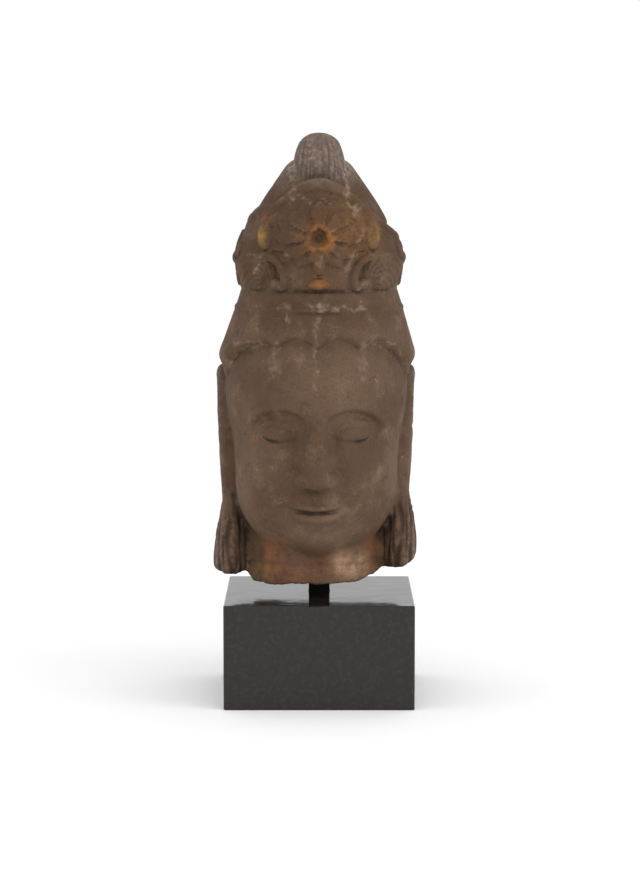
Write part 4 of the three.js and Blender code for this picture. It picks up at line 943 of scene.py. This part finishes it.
def weathered_stone(look):
    """Brown stone: soil and painted shade in the cuts and between the strands, painted shade in the broad
    hollows, pale crust and painted highlights on the worn edges, traces of pigment.
    """
    material, wire, place = new_material("weathered_stone")

    def mark(name):
        return wire.node("ShaderNodeAttribute", {"attribute_name": name}, output="Fac")

    broad = mottle(place, MOTTLE.broad, seed=1)
    patches = mottle(place, MOTTLE.patches, detail=7, roughness=0.66, seed=2)
    blotches = mottle(place, MOTTLE.blotches, detail=5, roughness=0.6, seed=21)
    specks = mottle(place, MOTTLE.specks, detail=5, roughness=0.65, seed=3)
    grain = mottle(place, MOTTLE.grain, detail=3, roughness=0.6, seed=4)
    recess, hollow, crest, strand = mark("recess"), mark("hollow"), mark("crest"), mark("strand")
    ash, patina = mark("ash"), mark("patina")

    colour = tint(broad.between(0.36, 0.66), look.shade, look.body)
    colour = tint(patches.between(0.48, 0.74) * 0.8, colour, look.light)
    colour = tint(blotches.between(0.46, 0.28) * 0.3, colour, look.soil_and_shade)
    colour = tint(patina * (0.4 + 0.4 * patches.between(0.62, 0.4)), colour, look.umber)
    colour = tint(ash * (0.5 + 0.5 * patches), colour, look.ash)
    colour = tint(mark("rust") * (0.2 + 0.75 * blotches.between(0.3, 0.6)), colour, look.rust)
    flaked = blotches.between(0.36, 0.58) * specks.between(0.25, 0.55)
    colour = tint(mark("ochre") * (0.12 + 0.7 * flaked), colour, look.ochre)
    colour = tint(mark("yellow") * (0.2 + 0.8 * flaked), colour, look.yellow)
    bared = 0.25 + 0.65 * blotches.between(0.36, 0.58) + 0.3 * specks
    colour = tint(mark("fresh") * bared, colour, look.fresh)
    # Pale on the crests, partly as wear and partly as a painted highlight on the edges.
    worn = crest.between(0.3, 0.9) * specks.between(0.42, 0.62) * patches.between(0.42, 0.6) * 0.4
    # The crust lines include painted highlights on the pendant's bead and the volutes.
    crusted = mark("crust_and_highlight") * (0.1 + 0.9 * specks.between(0.4, 0.62)) * 0.52
    scattered = specks.between(0.6, 0.72) * patches.between(0.47, 0.62) * 0.45
    silvered = (1 - strand) * ash * specks.between(0.42, 0.62) * 0.3
    for pale in (worn, crusted, scattered, silvered):
        colour = tint(pale, colour, look.crust_and_highlight)
    # Painted shade: the broad hollows are darkened towards the soil colour as painted shade, the cuts and
    # the grooves between strands as soil and painted shade.
    between_strands = strand.between(0.1, 0.8) * (0.5 + 0.45 * specks)
    shaded = hollow.between(0.35, 1.1) * 0.6
    in_cuts = recess.between(0.25, 0.95) * (0.35 + 0.4 * specks)
    for dark in (shaded, in_cuts, between_strands):
        colour = tint(dark, colour, look.soil_and_shade)
    colour = tint((grain - 0.45) * 1.2, colour, look.soil_and_shade)

    rough = 0.78 + 0.22 * specks - 0.14 * crest
    height = specks * 0.6 + grain * 0.35 + blotches * 0.9
    bump = wire.node("ShaderNodeBump", sockets={"Strength": 0.5, "Distance": 0.0014, "Height": height})
    surface(wire, {"Base Color": colour, "Roughness": rough, "Normal": bump, "Specular IOR Level": 0.3})
    return material


def polished_stone(look):
    """Polished black stone with fine crystals."""
    material, wire, place = new_material("polished_black_stone")
    crystals = cells(place, 0.0016)
    flecks = mottle(place, 0.0035, detail=5, roughness=0.7, seed=5)
    clouds = mottle(place, 0.03, seed=6)
    colour = tint(flecks.between(0.45, 0.7), look.dark, look.body)
    colour = tint(crystals.between(0.3, 0.1) * flecks.between(0.5, 0.7) * 0.08, colour, look.fleck)
    rough = 0.05 + 0.05 * clouds + 0.05 * flecks
    height = mottle(place, 0.035, detail=2, seed=7)
    bump = wire.node("ShaderNodeBump", sockets={"Strength": 0.3, "Distance": 0.0012, "Height": height})
    surface(wire, {"Base Color": colour, "Roughness": rough, "Normal": bump, "IOR": 1.38})
    return material


def black_steel(look):
    """Steel with a thin coat of satin black paint."""
    material, wire, place = new_material("black_steel")
    stipple = mottle(place, 0.0012, detail=3, seed=8)
    scuffs = mottle(place, 0.012, detail=6, roughness=0.7, seed=9)
    colour = tint(scuffs.between(0.5, 0.75), look.paint, look.scuff)
    bump = wire.node("ShaderNodeBump", sockets={"Strength": 0.25, "Distance": 0.0003, "Height": stipple})
    rough = 0.45 + 0.3 * scuffs
    surface(wire, {"Base Color": colour, "Roughness": rough, "Normal": bump, "Specular IOR Level": 0.12})
    return material


def floor_finish(look):
    material, wire, place = new_material("pale_floor")
    colour = tint(mottle(place, 0.4, seed=10), look.floor, look.floor_shade)
    surface(wire, {"Base Color": colour, "Roughness": 0.9, "Specular IOR Level": 0.1})
    return material


def weathering_tree():
    """Geometry Nodes that swell, pit and roughen a carved surface along its normals."""
    tree = bpy.data.node_groups.new("weathering", "GeometryNodeTree")
    tree.interface.new_socket("Geometry", in_out="INPUT", socket_type="NodeSocketGeometry")
    for name in ("Swell", "Swell Size", "Grain", "Grain Size", "Pit Depth", "Pit Size", "Fracture"):
        tree.interface.new_socket(name, in_out="INPUT", socket_type="NodeSocketFloat")
    tree.interface.new_socket("Finish", in_out="INPUT", socket_type="NodeSocketMaterial")
    tree.interface.new_socket("Geometry", in_out="OUTPUT", socket_type="NodeSocketGeometry")
    start = tree.nodes.new("NodeGroupInput")
    given = {socket.name: Wire(tree, socket) for socket in start.outputs if socket.name}
    wire = Wire(tree)
    place = wire.node("GeometryNodeInputPosition")
    normal = wire.node("GeometryNodeInputNormal")
    broken = wire.node("GeometryNodeInputNamedAttribute", {"data_type": "FLOAT"}, {"Name": "fracture"})

    def noise(size, detail, seed):
        scale = wire.math("DIVIDE", 1.0, size)
        sockets = {"Vector": place, "W": seed, "Scale": scale, "Detail": detail}
        return wire.node("ShaderNodeTexNoise", {"noise_dimensions": "4D"}, sockets) - 0.5

    swell = noise(given["Swell Size"], 2.0, 11.0) * given["Swell"] * 2
    grain = noise(given["Grain Size"], 3.0, 12.0) * given["Grain"] * 2
    pits = noise(given["Pit Size"], 1.0, 13.0).between(0.12, 0.3) * given["Pit Depth"]
    crumble = noise(given["Grain Size"] * 1.6, 4.0, 14.0) * given["Fracture"] * 2 * broken
    offset = wire.node(
        "ShaderNodeVectorMath", {"operation": "SCALE"}, {0: normal, "Scale": swell + grain - pits + crumble}
    )
    moved = wire.node("GeometryNodeSetPosition", sockets={"Geometry": given["Geometry"], "Offset": offset})
    solid = wire.node("GeometryNodeRealizeInstances", sockets={"Geometry": moved})
    finished = wire.node("GeometryNodeSetMaterial", sockets={"Geometry": solid, "Material": given["Finish"]})
    wire.node("NodeGroupOutput", sockets={"Geometry": finished})
    return tree


def apply_nodes(piece, tree, values):
    """Runs a Geometry Nodes tree on a piece and keeps the result as a plain mesh."""
    modifier = piece.modifiers.new(tree.name, "NODES")
    modifier.node_group = tree
    names = {item.name: item.identifier for item in tree.interface.items_tree if item.in_out == "INPUT"}
    for name, value in values.items():
        modifier[names[name]] = value
    view = bpy.context.evaluated_depsgraph_get()
    result = bpy.data.meshes.new_from_object(
        piece.evaluated_get(view), preserve_all_data_layers=True, depsgraph=view
    )
    rough = piece.data
    piece.modifiers.clear()
    piece.data = result
    bpy.data.meshes.remove(rough)


def smooth(mesh):
    mesh.polygons.foreach_set("use_smooth", np.ones(len(mesh.polygons), bool))


def new_piece(name, data):
    piece = bpy.data.objects.new(name, data)
    bpy.context.scene.collection.objects.link(piece)
    return piece


def hand_over(piece, node):
    """Puts a finished piece in a node's place."""
    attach(piece, BODY)
    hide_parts(node)


def block_mesh(name, low, high, bevel, segments):
    """A box with rounded edges."""
    shape = bmesh.new()
    bmesh.ops.create_cube(shape, size=1)
    size = Vector(high) - Vector(low)
    middle = (Vector(high) + Vector(low)) / 2
    for vertex in shape.verts:
        vertex.co = middle + Vector(a * b for a, b in zip(vertex.co, size))
    bmesh.ops.bevel(
        shape, geom=shape.edges[:], offset=bevel, segments=segments, profile=0.5, affect="EDGES"
    )
    mesh = bpy.data.meshes.new(name)
    shape.to_mesh(mesh)
    shape.free()
    smooth(mesh)
    return mesh


def linear(red, green, blue):
    """A screen colour, 0 to 255, as the linear values that the shaders use."""
    return tuple(((part / 255 + 0.055) / 1.055) ** 2.4 for part in (red, green, blue))


def colour_property(name, description, screen):
    return FloatVectorProperty(
        name=name, description=description, default=linear(*screen), min=0, max=1, subtype="COLOR"
    )


def depth_property(name, description, default):
    return FloatProperty(
        name=name, description=description, default=default, min=0, max=0.05, precision=5, unit="LENGTH"
    )


class StoneSettings(bpy.types.PropertyGroup):
    """Colours and wear of the carved stone."""

    body: colour_property("Body", "Colour of the clean stone", (100, 78, 61))
    shade: colour_property("Shade", "Colour of the darker beds of the stone", (82, 62, 46))
    light: colour_property("Light", "Colour of the paler beds of the stone", (117, 94, 74))
    # Also the colour of the painted shade in the hollows, in the cuts and between the strands
    soil_and_shade: colour_property("Dirt", "Colour of the soil in the hollows", (36, 25, 18))
    # Also the colour of the painted highlights on the crests, the pendant's bead and the volutes
    crust_and_highlight: colour_property("Crust", "Colour of the pale mineral crust", (176, 154, 132))
    ash: colour_property("Ash", "Colour of the greyer stone at the top and on the ears", (101, 88, 83))
    umber: colour_property("Umber", "Colour of the patina on the hair and the crown", (76, 53, 36))
    ochre: colour_property("Ochre", "Colour of what is left of the orange pigment", (144, 92, 41))
    yellow: colour_property("Yellow", "Colour of what is left of the yellow pigment", (148, 114, 58))
    rust: colour_property("Rust", "Colour of the reddish stone at the neck", (134, 84, 56))
    fresh: colour_property("Fresh", "Colour of the newly broken stone", (172, 138, 110))
    swell: depth_property("Swell", "How far the worn surface wanders from the carving", 0.0005)
    swell_size: depth_property("Swell size", "Size of the worn undulations", 0.022)
    grain: depth_property("Grain", "Height of the stone's grain", 0.00022)
    grain_size: depth_property("Grain size", "Size of the stone's grain", 0.0035)
    pit_depth: depth_property("Pit depth", "Depth of the weathered pits", 0.0007)
    pit_size: depth_property("Pit size", "Size of the weathered pits", 0.007)
    fracture: depth_property("Fracture", "Roughness of the broken underside", 0.0016)


class StandSettings(bpy.types.PropertyGroup):
    """Colours of the rod and the plinth, and the rod's edges."""

    paint: colour_property("Paint", "Colour of the rod's paint", (9, 6, 4))
    scuff: colour_property("Scuff", "Colour of the rod's worn paint", (22, 17, 14))
    dark: colour_property("Dark", "Colour of the plinth's darkest stone", (36, 31, 29))
    body: colour_property("Body", "Colour of the plinth's stone", (47, 42, 40))
    fleck: colour_property("Fleck", "Colour of the plinth's crystals", (84, 80, 78))
    rod_bevel: depth_property("Rod edge", "Width of the rod's rounded edges", 0.0006)
    bevel_segments: IntProperty(
        name="Edge steps", description="Steps in a rounded edge", default=3, min=1, max=8
    )


class StudioSettings(bpy.types.PropertyGroup):
    """Floor, lights and camera."""

    floor: colour_property("Floor", "Colour of the floor", (252, 252, 252))
    floor_shade: colour_property("Floor shade", "Colour of the floor's darker patches", (250, 250, 250))
    sky: FloatProperty(name="Tent", description="Strength of the light from all round", default=0.93, min=0)
    key: FloatProperty(
        name="Overhead", description="Strength of the soft light from above", default=0.6, min=0
    )
    fill: FloatProperty(
        name="Side", description="Power of the right side light", default=9.5, min=0, unit="POWER"
    )
    balance: FloatProperty(
        name="Balance", description="Left side light as a share of the right", default=0.32, min=0
    )
    camera_back: FloatProperty(
        name="Camera back", description="Camera's distance from the axis", default=2.204, unit="LENGTH"
    )
    camera_aside: FloatProperty(
        name="Camera aside", description="Camera's place to the right", default=0.0007,
        precision=4, unit="LENGTH",
    )
    camera_up: FloatProperty(name="Camera up", description="Camera's height", default=0.4457, unit="LENGTH")
    camera_tilt: FloatProperty(
        name="Camera tilt", description="Camera's tilt down", default=math.radians(6.11), subtype="ANGLE"
    )
    lens: FloatProperty(
        name="Lens", description="Camera's focal length", default=111.8, min=1, unit="CAMERA"
    )


class STONEHEAD_OT_stage(bpy.types.Operator):
    """Make the floor, the soft light from all round, the lamps and the camera"""

    bl_idname = "stonehead.stage"
    bl_label = "Stage"

    floor_half = 3.0
    overhead_place = (0.3, -1.2, 1.25)
    overhead_angle = math.radians(70)
    right_place = (1.8, -0.9, 0.9)
    left_place = (-1.6, -0.7, 0.8)
    side_size = 1.2
    aim = (0, 0, 0.26)

    def execute(self, context):
        studio = context.scene.stonehead_studio
        self.add_floor(studio)
        self.add_tent(context.scene, studio)
        self.add_lamp("overhead", "SUN", self.overhead_place, studio.key).angle = self.overhead_angle
        self.add_lamp("right", "AREA", self.right_place, studio.fill).size = self.side_size
        left_power = studio.fill * studio.balance
        self.add_lamp("left", "AREA", self.left_place, left_power).size = self.side_size
        self.add_camera(context.scene, studio)
        context.scene.view_settings.view_transform = "Standard"
        return {"FINISHED"}

    def add_floor(self, studio):
        half = self.floor_half
        mesh = bpy.data.meshes.new("floor")
        corners = [(-half, -half, 0), (half, -half, 0), (half, half, 0), (-half, half, 0)]
        mesh.from_pydata(corners, [], [(0, 1, 2, 3)])
        mesh.materials.append(floor_finish(studio))
        new_piece("floor", mesh)

    def add_tent(self, scene, studio):
        """White as seen by the camera, a little weaker as a light."""
        world = bpy.data.worlds.new("light_tent")
        world.use_nodes = True
        world.node_tree.nodes.clear()
        wire = Wire(world.node_tree)
        seen = wire.node("ShaderNodeLightPath", output="Is Camera Ray")
        strength = studio.sky + seen * (1 - studio.sky)
        light = wire.node("ShaderNodeBackground", sockets={"Color": (1, 1, 1, 1), "Strength": strength})
        wire.node("ShaderNodeOutputWorld", sockets={"Surface": light})
        scene.world = world

    def add_lamp(self, name, kind, place, power):
        lamp = bpy.data.lights.new(name, kind)
        lamp.energy = power
        holder = new_piece(name, lamp)
        holder.location = place
        along = Vector(self.aim) - Vector(place)
        holder.rotation_euler = along.to_track_quat("-Z", "Y").to_euler()
        return lamp

    def add_camera(self, scene, studio):
        lens = bpy.data.cameras.new("camera")
        lens.lens = studio.lens
        camera = new_piece("camera", lens)
        camera.location = (studio.camera_aside, -studio.camera_back, studio.camera_up)
        camera.rotation_euler = (pi / 2 - studio.camera_tilt, 0, 0)
        scene.camera = camera


class STONEHEAD_OT_head(bpy.types.Operator):
    """Carve the head, weather its surface and give it its stone"""

    bl_idname = "stonehead.head"
    bl_label = "Stone head"

    def execute(self, context):
        look = context.scene.stonehead_stone
        points, faces = carved_surface()
        mesh = mesh_of("stone_head", points, faces)
        self.add_marks(mesh, points)
        piece = new_piece("stone_head_carved", mesh)
        apply_nodes(piece, weathering_tree(), {
            "Swell": look.swell, "Swell Size": look.swell_size, "Grain": look.grain,
            "Grain Size": look.grain_size, "Pit Depth": look.pit_depth, "Pit Size": look.pit_size,
            "Fracture": look.fracture, "Finish": weathered_stone(look),
        })
        smooth(piece.data)
        hand_over(piece, "stone_head")
        return {"FINISHED"}

    def add_marks(self, mesh, points):
        normal = slope(points)
        normal = normal / np.maximum(length(*normal), 1e-6)
        for name, values in surface_marks(*points, normal).items():
            layer = mesh.attributes.new(name, "FLOAT", "POINT")
            layer.data.foreach_set("value", values.astype(np.float32))


class STONEHEAD_OT_rod(bpy.types.Operator):
    """Make the square rod that holds the head"""

    bl_idname = "stonehead.rod"
    bl_label = "Mounting rod"

    def execute(self, context):
        look = context.scene.stonehead_stand
        low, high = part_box("mounting_rod")
        mesh = block_mesh("mounting_rod", low, high, look.rod_bevel, look.bevel_segments)
        mesh.materials.append(black_steel(look))
        hand_over(new_piece("mounting_rod_painted", mesh), "mounting_rod")
        return {"FINISHED"}


class STONEHEAD_OT_plinth(bpy.types.Operator):
    """Finish the plinth as polished black stone"""

    bl_idname = "stonehead.plinth"
    bl_label = "Plinth"

    def execute(self, context):
        look = context.scene.stonehead_stand
        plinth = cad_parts["plinth"]
        for slot in plinth.material_slots:
            slot.material = polished_stone(look)
        return {"FINISHED"}


class STONEHEAD_PT_panel(bpy.types.Panel):
    """The stone head's pieces and settings"""

    bl_idname = "STONEHEAD_PT_panel"
    bl_label = "Stone Head"
    bl_space_type = "VIEW_3D"
    bl_region_type = "UI"
    bl_category = "Stone Head"

    def draw(self, context):
        for operator in OPERATORS:
            self.layout.operator(operator.bl_idname)
        for name in SETTINGS:
            group = getattr(context.scene, name)
            box = self.layout.box()
            for key in group.bl_rna.properties.keys():
                if key not in {"rna_type", "name"}:
                    box.prop(group, key)


SETTINGS = {
    "stonehead_stone": StoneSettings,
    "stonehead_stand": StandSettings,
    "stonehead_studio": StudioSettings,
}
OPERATORS = (STONEHEAD_OT_stage, STONEHEAD_OT_plinth, STONEHEAD_OT_rod, STONEHEAD_OT_head)
CLASSES = (*SETTINGS.values(), *OPERATORS, STONEHEAD_PT_panel)


def register():
    for item in CLASSES:
        bpy.utils.register_class(item)
    for name, group in SETTINGS.items():
        setattr(bpy.types.Scene, name, PointerProperty(type=group))


def unregister():
    for name in SETTINGS:
        delattr(bpy.types.Scene, name)
    for item in reversed(CLASSES):
        bpy.utils.unregister_class(item)


def main():
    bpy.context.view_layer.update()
    register()
    for operator in OPERATORS:
        group, name = operator.bl_idname.split(".")
        getattr(getattr(bpy.ops, group), name)()


if __name__ == "__main__":
    main()
